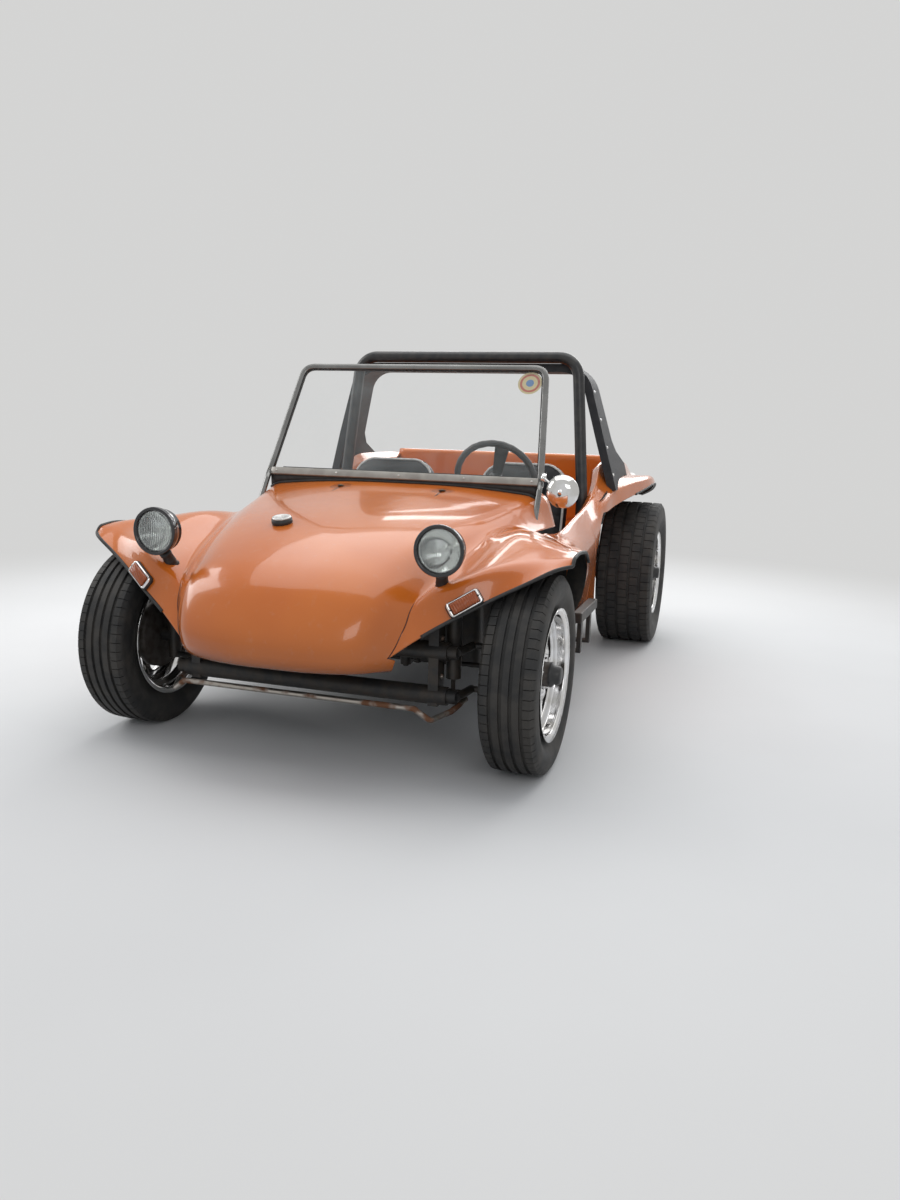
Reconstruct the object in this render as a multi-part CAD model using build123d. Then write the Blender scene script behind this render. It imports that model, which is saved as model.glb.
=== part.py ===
"""Short-wheelbase open dune buggy on a rear-engined platform chassis, in millimetres.

+X is the car's left, +Y points to its tail and +Z up. Everything is drawn with Y measured from
the front axle and moved on export, so that the origin lies on the ground under the middle of the
overall length. Body panels are thin mouldings lofted through short tables of sections.
"""
from math import atan2, cos, hypot, radians, sin, tan
import os

from build123d import *

# Driving dimensions
WHEELBASE = 2060
NOSE_OVERHANG = 486       # front axle to the foremost point of the nose
TAIL_OVERHANG = 600       # rear axle to the exhaust tips
LENGTH = WHEELBASE + NOSE_OVERHANG + TAIL_OVERHANG
SKIN = 7                  # fibreglass moulding
GAP = 0.3                 # seat clearance between pieces that only touch
RUN = 0.05                # radial clearance of a pin or shaft that turns

FRONT_TRACK = 1366
REAR_TRACK = 1440
FRONT_TYRE_R = 311
REAR_TYRE_R = 352
FRONT_TYRE_W = 180
REAR_TYRE_W = 272
FRONT_RIM_W = 150
REAR_RIM_W = 224
RIM_R = 190.5             # bead seat of a fifteen inch rim
KINGPIN_OFFSET = 83       # steering axis to the middle of the wheel
KINGPIN_X = FRONT_TRACK / 2 - KINGPIN_OFFSET
KINGPIN_R = 9
STEER_ARM = 110           # kingpin to tie rod, straight back
TIE_ROD_Z = 286
SPINDLE_R = 13            # front stub axle
REAR_SHAFT_R = 17         # rear axle shaft

COLUMN_X = 270            # steering column, seen from above
COLUMN_SLOPE = 25         # degrees above the horizontal
WHEEL_HUB = (COLUMN_X, 1012, 842)     # middle of the steering wheel's plane
COLUMN_R = 11

made = {}


def keep(name, *shapes):
    """Stores one node made of one or more solids, moved from the drawing frame to the model's."""
    solids = [s for shape in shapes for s in shape.solids()]
    whole = Compound(children=solids) if len(solids) > 1 else solids[0]
    made[name] = Pos(0, NOSE_OVERHANG - LENGTH / 2, 0) * whole


def mirrored(shape):
    return shape.mirror(Plane.YZ)


def both(shape):
    return [shape, mirrored(shape)]


def largest(shape):
    """The biggest solid of what a cut left."""
    return max(shape.solids(), key=lambda s: s.volume)


# Section helpers
def turn_at(a, b, c):
    """Signed turn in radians at corner b of a path."""
    d1, d2 = Vector(*b) - Vector(*a), Vector(*c) - Vector(*b)
    return atan2(d1.X * d2.Y - d1.Y * d2.X, d1.X * d2.X + d1.Y * d2.Y)


def rounded(points, radii):
    """Edges of a path of lines whose inner corners are arcs, one radius for each corner."""
    edges, last = [], Vector(*points[0])
    for i, radius in enumerate(radii, 1):
        before, corner, after = (Vector(*p) for p in points[i - 1:i + 2])
        d1, d2 = (corner - before).normalized(), (after - corner).normalized()
        half = abs(turn_at(*points[i - 1:i + 2])) / 2
        start, end = corner - d1 * radius * tan(half), corner + d2 * radius * tan(half)
        middle = corner + (d2 - d1).normalized() * (radius / cos(half) - radius)
        edges += [Line(last, start), ThreePointArc(start, middle, end)]
        last = end
    return edges + [Line(last, Vector(*points[-1]))]


def shifted(points, reaches, inward):
    """Points and corner radii of a path moved sideways to its right by inward."""
    ways = [(Vector(*b) - Vector(*a)).normalized() for a, b in zip(points, points[1:])]
    rights = [Vector(d.Y, -d.X) for d in ways]
    moved, radii = [Vector(*points[0]) + rights[0] * inward], []
    for i, reach in enumerate(reaches, 1):
        turn = turn_at(*points[i - 1:i + 2])
        n1, n2 = rights[i - 1], rights[i]
        moved.append(Vector(*points[i]) + (n1 + n2) * (inward / (1 + n1.dot(n2))))
        radii.append(reach / tan(abs(turn) / 2) + (inward if turn > 0 else -inward))
    moved.append(Vector(*points[-1]) + rights[-1] * inward)
    return [(p.X, p.Y) for p in moved], radii


def band(points, reaches, wall=SKIN):
    """Closed face of constant thickness to the right of a path rounded by tangent lengths."""
    outer, inner = shifted(points, reaches, 0), shifted(points, reaches, wall)
    ends = [Line(outer[0][-1], inner[0][-1]), Line(inner[0][0], outer[0][0])]
    return make_face(Wire(rounded(*outer) + ends + rounded(*inner)))


def filled(points, reaches, inward, closing):
    """Closed face from a rounded path moved inward, closed through further corners."""
    path, radii = shifted(points, reaches, inward)
    corners = [path[-1], *closing, path[0]]
    lines = [Line(a, b) for a, b in zip(corners, corners[1:]) if Vector(*a) != Vector(*b)]
    return make_face(Wire(rounded(path, radii) + lines))


def across_x(x):
    """Sketch plane at x: its first axis is +Y and its second +Z."""
    return Plane(origin=(x, 0, 0), x_dir=(0, 1, 0), z_dir=(1, 0, 0))


def across_y(y, z=0, tilt=0):
    """Sketch plane at y: its first axis is +X, its second is up and tilted forward."""
    t = radians(tilt)
    return Plane(origin=(0, y, z), x_dir=(1, 0, 0), z_dir=(0, -cos(t), -sin(t)))


def chain(sections, *joins):
    """One solid of lofts that follow one another and meet at the joins' sections."""
    stops = [0, *joins, len(sections) - 1]
    whole = loft(sections[stops[0]:stops[1] + 1])
    for a, b in zip(stops[1:], stops[2:]):
        whole += loft(sections[a:b + 1])
    return whole


def tube(points, radius, bend=0):
    """Round bar along a path whose corners are bent to one radius."""
    path = FilletPolyline(*points, radius=bend) if len(points) > 2 else Line(*points)
    return sweep(Plane(origin=path @ 0, z_dir=path % 0) * Circle(radius), path=path)


def rod(a, b, radius):
    """Round bar from a to b."""
    a, b = Vector(*a), Vector(*b)
    return extrude(Plane(origin=a, z_dir=b - a) * Circle(radius), (b - a).length)


def block(x, y, z, soft=0):
    """Box from three (low, high) pairs, with every edge rounded by soft."""
    size = [b - a for a, b in (x, y, z)]
    box = Pos(*[(a + b) / 2 for a, b in (x, y, z)]) * Box(*size)
    return fillet(box.edges(), soft) if soft else box


def sheet(x, corners):
    """Flat plate across X between two x values, its outline given as (y, z) corners."""
    return extrude(across_x(x[0]) * make_face(Polyline(*corners, close=True)), x[1] - x[0])


def wall(y, corners):
    """Flat plate across Y between two y values, its outline given as (x, z) corners."""
    return extrude(across_y(y[0]) * make_face(Polyline(*corners, close=True)), y[0] - y[1])


# Hood and nose: crown point, tilt of the section, shoulder and crease as half width and drop
HOOD = (
    #  y    z   tilt shoulder  reach  crease
    (668, 850, 0, (565, 28), 50, (600, 150)),
    (330, 790, 0, (478, 26), 50, (556, 98)),
    (0, 735, 0, (384, 24), 56, (476, 98)),
    (-220, 676, 16, (322, 28), 52, (444, 115)),
    (-360, 612, 42, (308, 34), 50, (401, 135)),
    (-450, 528, 68, (298, 42), 46, (381, 165)),
    (-486, 440, 90, (284, 46), 44, (372, 176)),
    (-472, 385, 90, (278, 44), 42, (357, 152)),
    (-440, 356, 90, (268, 42), 40, (343, 136)),
    (-392, 343, 90, (252, 40), 38, (330, 112)),
)
HOOD_JOINS = (3, 6)


def hood_path(shoulder, reach, crease):
    middle = 0.52 * shoulder[0]
    points = [(0, 0), (middle, 0), (shoulder[0], -shoulder[1]), (crease[0], -crease[1])]
    crown = 0.95 * min(middle, hypot(shoulder[0] - middle, shoulder[1]) - reach)
    return points, [crown, reach]


def hood_loft(depth=None):
    """Half of the moulding itself, or with a depth the solid block below its outer surface."""
    sections = []
    for y, z, tilt, shoulder, reach, crease in HOOD:
        points, reaches = hood_path(shoulder, reach, crease)
        if depth is None:
            face = band(points, reaches)
        else:
            low = -crease[1] - depth
            face = filled(points, reaches, 0, [(crease[0], low), (0, low)])
        sections.append(across_y(y, z, tilt) * face)
    return chain(sections, *HOOD_JOINS)


hood = hood_loft()
hood += mirrored(hood)
hood_block = hood_loft(60)

# Front wings: x, then y and z of the front lip, front crest, top, rear crest and rear lip
FRONT_WING = (
    #  x   lip         crest        top        rear crest  rear lip
    (340, (-348, 392), (-302, 472), (60, 622), (475, 686), (650, 246)),
    (372, (-335, 415), (-284, 522), (110, 662), (475, 690), (650, 246)),
    (444, (-305, 466), (-255, 588), (180, 708), (470, 700), (645, 250)),
    (510, (-279, 508), (-240, 618), (220, 724), (462, 702), (638, 265)),
    (580, (-246, 549), (-208, 647), (205, 740), (440, 694), (615, 312)),
    (640, (-216, 583), (-168, 661), (150, 736), (405, 688), (585, 350)),
    (730, (-178, 632), (-112, 672), (60, 716), (330, 674), (500, 440)),
    (790, (-148, 662), (-100, 685), (0, 704), (210, 680), (330, 590)),
    (820, (-112, 667), (-95, 688), (-20, 696), (100, 686), (150, 648)),
)
WING_REACH = (30, 120, 60)


def wing_path(points):
    legs = [hypot(b[0] - a[0], b[1] - a[1]) for a, b in zip(points, points[1:])]
    reaches = [min(r, 0.42 * a, 0.42 * b) for r, a, b in zip(WING_REACH, legs, legs[1:])]
    return list(points), reaches


front_wing = loft([across_x(x) * band(*wing_path(points)) for x, *points in FRONT_WING])
front_wing -= hood_block
front_wing = largest(front_wing - Pos(GAP, 0, 0) * hood)
TOE_X, TOE_Y, TOE_WALL = 428, 300, 6          # footwell between the front wheels
front_wing -= block((300, TOE_X + TOE_WALL + GAP), (TOE_Y - 20, 700), (200, 800))
arch_block = loft([
    across_x(x) * filled(*wing_path(points), 0, [(points[-1][0], 150), (points[0][0], 150)])
    for x, *points in FRONT_WING])

# Cockpit sides: y, then x and z of the rim's inner edge, rim, shoulder, lip and foot on the floor
SIDE = (
    (470, (585, 664), (612, 698), (716, 640), (672, 330), (600, 241)),
    (620, (590, 652), (617, 686), (712, 606), (668, 326), (600, 241)),
    (850, (592, 670), (620, 704), (704, 590), (664, 322), (600, 241)),
    (1100, (592, 702), (620, 736), (694, 620), (656, 322), (600, 241)),
    (1300, (592, 744), (620, 778), (686, 712), (652, 330), (600, 241)),
)
# Rear wings: y, then x and z of the rim's inner edge, rim, hollow beside it, shoulder and lip
REAR_WING = (
    (1300, (592, 744), (620, 778), (648, 752), (682, 740), (688, 696)),
    (1450, (590, 816), (618, 852), (646, 810), (686, 782), (698, 722)),
    (1560, (576, 868), (606, 904), (644, 850), (706, 802), (720, 740)),
    (1700, (566, 880), (600, 916), (650, 852), (732, 822), (748, 758)),
    (1900, (566, 880), (600, 916), (656, 846), (772, 836), (786, 784)),
    (2060, (566, 878), (600, 914), (658, 838), (790, 838), (802, 798)),
    (2200, (566, 872), (600, 908), (656, 832), (778, 826), (792, 784)),
    (2340, (566, 862), (600, 898), (648, 824), (742, 798), (756, 748)),
    (2450, (566, 848), (600, 884), (640, 812), (684, 768), (696, 716)),
)
SIDE_REACH = (10, 28, 24)
REAR_REACH = (12, 18, 16)


def side_loft(table, reaches, *joins):
    return chain([across_y(y) * band(points, reaches) for y, *points in table], *joins)


body_side = side_loft(SIDE, SIDE_REACH)
side_core = chain([across_y(y) * filled(points, SIDE_REACH, SKIN / 2, [(595, 300)])
                   for y, *points in SIDE])
# The side is swept up in front of the rear tyre and closed by a return to the tub
ARCH_SWEEP = ((1060, 240), (1095, 420), (1150, 560), (1230, 660), (1301, 714))
body_side -= arch_block
body_side = largest(body_side - Pos(0, GAP, GAP) * front_wing)
body_side -= sheet((560, 730), [*ARCH_SWEEP, (1301, 200), (1060, 200)])
TUB_X = 604               # outer face of the tub beside the seats
returns = extrude(across_x(TUB_X + GAP) * band(ARCH_SWEEP[::-1], (18, 18, 18)), 100)
body_side += returns & side_core
rear_wing = side_loft(REAR_WING, REAR_REACH, 3, 5)

# Rear deck behind the luggage well, with the tail panel
WELL_FRONT, WELL_REAR, WELL_X = 1500, 2050, 558
TAIL_Y = 2452
deck_line = [(WELL_REAR, 602), (WELL_REAR, 932), (TAIL_Y + 2, 892)]
deck = extrude(across_x(-WELL_X) * band(deck_line, [26]), 2 * WELL_X)
tail_outline = [(0, 892), (558, 892), (566, 884), (600, 884), (640, 812), (684, 768), (696, 716), (0, 716)]
tail = wall((TAIL_Y, TAIL_Y + SKIN), tail_outline)
deck += tail + mirrored(tail)

# Tub behind the seats: side walls, well floor and seat bulkhead
FLOOR_Z = 240
WELL_FLOOR = 596
tub_front = [(1064, FLOOR_Z), (1099, 420), (1154, 560), (1234, 660), (1306, 716)]
tub_side = sheet((TUB_X - SKIN, TUB_X), [*tub_front, (1316, 728), (1450, 798), (1560, 856), (1620, 866),
                                         (1620, FLOOR_Z)])
well_side = [(1620, WELL_FLOOR - SKIN), (TAIL_Y - GAP, WELL_FLOOR - SKIN), (TAIL_Y - GAP, 846),
             (2200, 870), (1620, 872)]
tub_side += sheet((WELL_X + GAP, WELL_X + SKIN), well_side)
tub_side += block((WELL_X + GAP, TUB_X), (1613, 1620), (WELL_FLOOR - SKIN, 864))
well_floor = block((-TUB_X, TUB_X), (WELL_FRONT, 1620), (WELL_FLOOR - SKIN, WELL_FLOOR))
well_floor += block((-WELL_X - SKIN, WELL_X + SKIN), (1620, TAIL_Y - 200),
                    (WELL_FLOOR - SKIN, WELL_FLOOR))
bulkhead = block((-TUB_X, TUB_X), (WELL_FRONT - SKIN, WELL_FRONT), (FLOOR_Z, WELL_FLOOR))
damper_bracket = block((484, 516), (2162, 2198), (562, WELL_FLOOR - 3))
tub = well_floor + bulkhead + tub_side + mirrored(tub_side) + damper_bracket + mirrored(damper_bracket)

# Platform: floor, tunnel, toe board and side steps
TOE_FRONT = TOE_Y - TOE_WALL
floor_half = [(0, TOE_FRONT), (TOE_X, TOE_FRONT), (TOE_X + TOE_WALL, 455), (490, 520), (TUB_X, 620),
              (TUB_X, WELL_FRONT), (0, WELL_FRONT)]
floor = extrude(Pos(0, 0, FLOOR_Z - 8) * make_face(Polyline(*floor_half, close=True)), 8 - GAP)
tunnel = block((-74, 74), (TOE_Y + 5, WELL_FRONT - SKIN - GAP), (FLOOR_Z - 1, 352))
tunnel -= block((-68, 68), (TOE_Y, WELL_FRONT), (200, 346))
toe_line = [(-TOE_X, 560), (-TOE_X, TOE_Y), (TOE_X, TOE_Y), (TOE_X, 560)]
toe = extrude(Pos(0, 0, FLOOR_Z - 1) * band(toe_line, [30, 30], TOE_WALL), 480)
column_dir = Vector(0, cos(radians(COLUMN_SLOPE)), sin(radians(COLUMN_SLOPE)))
hub = Vector(*WHEEL_HUB)
COLUMN_TUBE_R = 20


def along_column(a, b, radius):
    """Round bar on the column's axis, measured from the middle of the steering wheel."""
    return rod(hub + column_dir * a, hub + column_dir * b, radius)


column_hole = along_column(-1000, -100, COLUMN_TUBE_R + GAP)
step = block((685, 723), (640, 980), (346, 386), 6)
step_stay = block((560, 712), (700, 730), (FLOOR_Z - 20, FLOOR_Z - 8)) + block(
    (696, 712), (700, 730), (FLOOR_Z - 20, 350))
steps = step + step_stay + Pos(0, 190, 0) * step_stay
platform = floor + mirrored(floor) + tunnel + toe + steps + mirrored(steps) - column_hole

# Dash, gauges and fuel filler
DASH_Y = 640
dash = wall((DASH_Y, DASH_Y + 10), [(-520, 610), (520, 610), (600, 900), (-600, 900)])
dash = largest(dash - Pos(0, 0, -GAP) * hood)
dash -= column_hole
gauges = [rod((x, DASH_Y + 10, z), (x, DASH_Y + 32, z), r)
          for x, z, r in ((COLUMN_X, 770, 52), (120, 762, 30), (40, 762, 30))]
cap_axis = Plane(origin=(-165, -12, 700), z_dir=(0, -0.22, 1))
cap = extrude(cap_axis * Circle(22), 70) + extrude(cap_axis.offset(52) * Circle(33), 20)
hood -= extrude(cap_axis * Circle(22 + GAP), 60)
neck = extrude(cap_axis.offset(-60) * Circle(18), 60)
tank = block((-235, 235), (-70, TOE_FRONT - GAP), (440, 640), 24) + neck
wiper_holes = [rod((x, 520, 780), (x, 505, 850), 7 + GAP) for x in (-200, 200)]
for hole in wiper_holes:
    hood -= hole
spindles = [rod((x, 520, 780), (x, 505, 850), 7) for x in (-200, 200)]

# Windscreen: a flat glass in a bright frame, leaning back
SCREEN_LEAN = 27.5
SCREEN_FOOT = (0, 600, 848)
FRAME_HALF, FRAME_TOP, FRAME_BAR, RAIL = (564, 516), 497, 11, 30
FRAME_CORNER = 60
lean = radians(SCREEN_LEAN)
screen = Plane(origin=SCREEN_FOOT, x_dir=(1, 0, 0), z_dir=(0, -cos(lean), sin(lean)))
frame_outline = [(-FRAME_HALF[0], 0), (-FRAME_HALF[1], FRAME_TOP), (FRAME_HALF[1], FRAME_TOP),
                 (FRAME_HALF[0], 0)]
bar = band(frame_outline, [FRAME_CORNER, FRAME_CORNER], 2 * FRAME_BAR)
frame = extrude(screen * bar, FRAME_BAR * 0.8, both=True)
rail_top = FRAME_HALF[0] - 4
frame += extrude(screen * make_face(Polyline((-FRAME_HALF[0], 0), (FRAME_HALF[0], 0), (rail_top, RAIL),
                                             (-rail_top, RAIL), close=True)), FRAME_BAR * 0.8, both=True)
inner, inner_radii = shifted(frame_outline, [FRAME_CORNER, FRAME_CORNER], 2 * FRAME_BAR + GAP)
up = (RAIL + GAP - inner[0][1]) / (inner[1][1] - inner[0][1])
corner_x = inner[0][0] + up * (inner[1][0] - inner[0][0])
inner = [(corner_x, RAIL + GAP), *inner[1:3], (-corner_x, RAIL + GAP)]
pane = make_face(Wire(rounded(inner, inner_radii) + [Line(inner[-1], inner[0])]))
glass = extrude(screen * pane, 2.5, both=True)
FOOT_LINE, FOOT_R = ((552, 602, 860), (556, 505, 704)), 10
frame_foot = rod(*FOOT_LINE, FOOT_R)
frame += frame_foot + mirrored(frame_foot)
foot_hole = rod(*FOOT_LINE, FOOT_R + GAP)
hood -= foot_hole + mirrored(foot_hole)

# Driver's mirror on an arm from the frame
arm_line = ((560, 612, 880), (652, 482, 840))
frame -= rod(*arm_line, 5 + GAP)
mirror = rod(*arm_line, 5) + rod((660, 482, 842), (660, 458, 842), 58)
mirror += rod((660, 458, 842), (660, 444, 842), 40)

# Roll hoop in front of the hard top's rear band
HOOP_R = 25
HOOP = ((568, 1360, FLOOR_Z + 5), (568, 1360, 760), (512, 1410, 1362))
hoop_line = [*HOOP, *[(-x, y, z) for x, y, z in HOOP[::-1]]]
hoop_foot = block((524, 596), (1315, 1405), (FLOOR_Z, FLOOR_Z + 6))
hoop = tube(hoop_line, HOOP_R, 90) + hoop_foot + mirrored(hoop_foot)
hoop_space = tube(HOOP, HOOP_R + GAP, 90)
rear_wing -= hoop_space
body_side -= hoop_space

BAND_LINE = [(-700, 793), (-545, 1338), (545, 1338), (700, 793)]
BAND_PROFILE = [(1475, 780), (1452, 1010), (1440, 1345), (1600, 1345), (1668, 1010), (1724, 960),
                (1900, 900), (1900, 780)]
targa = extrude(across_y(1990) * band(BAND_LINE, [110, 110], 36), 590) & sheet((-710, 710), BAND_PROFILE)
rear_wing_up = Pos(0, 0, GAP) * rear_wing
targa = largest(targa - rear_wing_up - mirrored(rear_wing_up))

# Seats: cushion, leaning back and rails, soft parts plain
SEAT_X, SEAT_HALF = 310, 212


def seat():
    cushion = block((-SEAT_HALF, SEAT_HALF), (850, 1290), (262, 426), 45)
    back = Pos(0, 1240, 380) * Rot(-14, 0, 0) * block((-205, 205), (-55, 55), (0, 540), 45)
    rails = block((-180, -150), (900, 1260), (FLOOR_Z, 262 - GAP))
    return [cushion + back, rails, mirrored(rails)]


# Steering column, box, pitman arm and wheel
BOX_Y = (-50, 62)
column = along_column(-1045, -58, COLUMN_TUBE_R) + along_column(-60, 4, COLUMN_R)
box = block((COLUMN_X - 36, COLUMN_X + 36), BOX_Y, (352, 432), 8)
box += block((COLUMN_X - 20, COLUMN_X + 20), (-100, -40), (372, 400))
box += rod((COLUMN_X, 0, 360), (COLUMN_X, 0, TIE_ROD_Z + 4), KINGPIN_R)
column_jacket = column + box

wheel_plane = Plane(origin=hub, x_dir=(1, 0, 0), z_dir=column_dir)
WHEEL_R = 165
steering_wheel = wheel_plane * Torus(WHEEL_R, 12) + along_column(-46, 14, 32)
for angle in (0, 90, 180):
    steering_wheel += wheel_plane * Rot(0, 0, angle) * Pos(WHEEL_R / 2, 0, 0) * Box(WHEEL_R, 26, 5)
steering_wheel -= along_column(-50, 6, COLUMN_R + RUN)

LEVER_TOP = (0, 900, 560)
gear_lever = rod((0, 802, 356), LEVER_TOP, 6) + Pos(*LEVER_TOP) * Sphere(22)
gear_lever += rod((0, 800, 352 + GAP), (0, 800, 362), 40)
handbrake = rod((0, 1010, 364), (0, 830 + 360, 470), 9) + block((-14, 14), (980, 1060), (352 + GAP, 380))
pedals = []
for x, width in ((160, 50), (250, 50), (330, 40)):
    pedals.append(rod((x, 420, FLOOR_Z + 1.7), (x, 372, 400), 6)
                  + Pos(x, 372, 400) * Rot(-20, 0, 0) * Box(width, 8, 60))

# Front beam with trailing arms, king pins, shock towers and steering links
BEAM_Y, BEAM_Z, BEAM_R = -130, (242, 382), 29
PIN_EYE_R, PIN_EYE = 20, 22
TOWER_TOP, TOWER_PIN_R = 572, 9           # shock tower and the pin that carries the damper
TOWER_PIN_Z = TOWER_TOP - TOWER_PIN_R - 2
beam = block((400, 432), (-152, -92), (212, TOWER_TOP))
beam += rod((420, -100, TOWER_PIN_Z), (476, -70, TOWER_PIN_Z), TOWER_PIN_R)
for z in BEAM_Z:
    beam += rod((0, BEAM_Y, z), (458, BEAM_Y, z), BEAM_R)
    beam += rod((450, BEAM_Y, z), (487, BEAM_Y, z), 22)
    beam += rod((485, BEAM_Y, z), (500, -20, z), 13) + Pos(500, -20, z) * Sphere(13)
    beam += rod((500, -20, z), (KINGPIN_X, 0, z), 10)
    beam += rod((KINGPIN_X, 0, z - PIN_EYE / 2), (KINGPIN_X, 0, z + PIN_EYE / 2), PIN_EYE_R)
beam += rod((446, -70, BEAM_Z[0]), (493, -70, BEAM_Z[0]), 8)
beam += rod((KINGPIN_X, 0, BEAM_Z[0]), (KINGPIN_X, 0, BEAM_Z[1]), KINGPIN_R)
front_beam = beam + mirrored(beam)

ANTI_ROLL = ((494, -60, 219.7), (478, -150, 203), (440, -240, 195), (392, -252, 230))
anti_roll = tube([*ANTI_ROLL, *[(-x, y, z) for x, y, z in ANTI_ROLL[::-1]]], 9, 20)

KNUCKLE_Z = (BEAM_Z[0] + PIN_EYE / 2 + 1, BEAM_Z[1] - PIN_EYE / 2 - 1)
ARM_Z = (TIE_ROD_Z + 10, TIE_ROD_Z + 22)
LINK_PIN_R = 6


def steer_arm(x):
    """Flat arm from a steering axis to the tie rod, with its pin pointing down."""
    arm = block((x - 14, x + 14), (0, STEER_ARM), ARM_Z)
    arm += rod((x, STEER_ARM, ARM_Z[0]), (x, STEER_ARM, ARM_Z[1]), 14)
    return arm + rod((x, STEER_ARM, TIE_ROD_Z - 12), (x, STEER_ARM, ARM_Z[0]), LINK_PIN_R)


axle_x, wheel_z = FRONT_TRACK / 2, FRONT_TYRE_R
knuckle = rod((KINGPIN_X, 0, KNUCKLE_Z[0]), (KINGPIN_X, 0, KNUCKLE_Z[1]), 22)
SHOULDER_X = axle_x - 43                   # where the stub axle steps down to the hub's bore
knuckle += rod((KINGPIN_X, 0, wheel_z), (SHOULDER_X, 0, wheel_z), 26)
knuckle += rod((SHOULDER_X, 0, wheel_z), (axle_x + 42, 0, wheel_z), SPINDLE_R)
knuckle += steer_arm(KINGPIN_X)
knuckle -= rod((KINGPIN_X, 0, 200), (KINGPIN_X, 0, 420), KINGPIN_R + RUN)

tie_rod = rod((-KINGPIN_X, STEER_ARM, TIE_ROD_Z), (KINGPIN_X, STEER_ARM, TIE_ROD_Z), 8)
pitman = steer_arm(COLUMN_X) + rod((COLUMN_X, 0, ARM_Z[0]), (COLUMN_X, 0, ARM_Z[1] + 16), 18)
pitman -= rod((COLUMN_X, 0, 280), (COLUMN_X, 0, 400), KINGPIN_R + RUN)
for x in (-KINGPIN_X, COLUMN_X, KINGPIN_X):
    tie_rod += rod((x, STEER_ARM, TIE_ROD_Z - 9), (x, STEER_ARM, TIE_ROD_Z + 9), 14)
for x in (-KINGPIN_X, COLUMN_X, KINGPIN_X):
    tie_rod -= rod((x, STEER_ARM, 250), (x, STEER_ARM, 320), LINK_PIN_R + RUN)

# Wheels, drawn round +X with the outside of the car at +X
WHEELS = {
    # corner: track, station, tyre radius, tyre width, rim width, shaft radius
    "front": (FRONT_TRACK, 0, FRONT_TYRE_R, FRONT_TYRE_W, FRONT_RIM_W, SPINDLE_R),
    "rear": (REAR_TRACK, WHEELBASE, REAR_TYRE_R, REAR_TYRE_W, REAR_RIM_W, REAR_SHAFT_R),
}
SLOTS = 8


def tyre(radius, width, rim_width):
    bead, half = rim_width / 2 - 10, width / 2
    side = RIM_R + 22
    bulge = side + 0.42 * (radius - side)
    tread = half - 17
    outer = [(-bead, RIM_R + GAP), (-bead - 3, side), (-half, bulge), (-half + 5, radius - 20),
             (-tread, radius)]
    outer += [(-u, v) for u, v in outer[::-1]]
    inner = [(bead - 12, RIM_R + GAP), (bead - 8, side), (half - 14, bulge), (tread - 6, radius - 16)]
    inner += [(-u, v) for u, v in inner[::-1]]
    return revolve(make_face(Polyline(*outer, *inner, close=True)), Axis.X)


def rim(width, shaft):
    half = width / 2
    well = half * 0.42
    barrel = [(-half - 4, RIM_R + 17), (-half + 2, RIM_R), (-well - 10, RIM_R), (-well, RIM_R - 22),
              (well, RIM_R - 22), (well + 10, RIM_R), (half - 2, RIM_R), (half + 4, RIM_R + 17)]
    whole = revolve(band(barrel, [2, 2, 2, 2, 2, 2], 5), Axis.X)
    web = [(well - 6, 36), (well + 6, 96), (well - 18, 142), (well - 22, RIM_R - 25)]
    web = revolve(band(web, [14, 14], 8), Axis.X)
    for k in range(SLOTS):
        web -= Rot(360 * k / SLOTS, 0, 0) * Pos(well, 0, 120) * Box(60, 34, 44)
    whole += web
    whole += rod((-40, 0, 0), (half - 6, 0, 0), 38)
    whole += rod((-42, 0, 0), (-6, 0, 0), 118) - rod((-42, 0, 0), (-12, 0, 0), 110)
    return whole - rod((-60, 0, 0), (46, 0, 0), shaft + RUN)


for name, (track, station, radius, width, rim_width, shaft) in WHEELS.items():
    tyre_left = Pos(track / 2, station, radius) * tyre(radius, width, rim_width)
    rim_left = Pos(track / 2, station, radius) * rim(rim_width, shaft)
    keep(f"tyre_{name}_left", tyre_left)
    keep(f"tyre_{name}_right", mirrored(tyre_left))
    keep(f"rim_{name}_left", rim_left)
    keep(f"rim_{name}_right", mirrored(rim_left))

# Rear axle: gearbox, torsion tube, spring plates, axle tubes and shafts
REAR = (WHEELBASE, REAR_TYRE_R)
rear_x = REAR_TRACK / 2
TORSION = (1730, 330)
GEARBOX_Y = (1640, 2210)
rear_axle = rod((0, *TORSION), (530, *TORSION), 48)
rear_axle += sheet((516, 524), [(1700, 300), (2110, 318), (2110, 386), (1700, 360)])
rear_axle += rod((0, *REAR), (610, *REAR), 30) + rod((540, *REAR), (640, *REAR), 58)
rear_axle += rod((600, *REAR), (rear_x + 42, *REAR), REAR_SHAFT_R)
rear_axle += rod((520, 2100, 352), (520, 2130, 340), 20)
rear_axle += mirrored(rear_axle)
rear_axle += block((-105, 105), GEARBOX_Y, (262, 440), 30)
rear_axle += block((-70, 70), (WELL_FRONT + GAP, TORSION[0]), (250, 350))

DAMPERS = (
    # lower end, upper end, body radius
    ((455, -70, 250 + GAP), (455, -70, TOWER_PIN_Z - TOWER_PIN_R - GAP), 24),
    ((500, 2140, 352), (500, 2180, 560), 26),
)
dampers = []
for low, high, radius in DAMPERS:
    a, b = Vector(*low), Vector(*high)
    dampers.append(rod(a, b, 7) + rod(a + (b - a) * 0.12, a + (b - a) * 0.9, radius))

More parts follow.
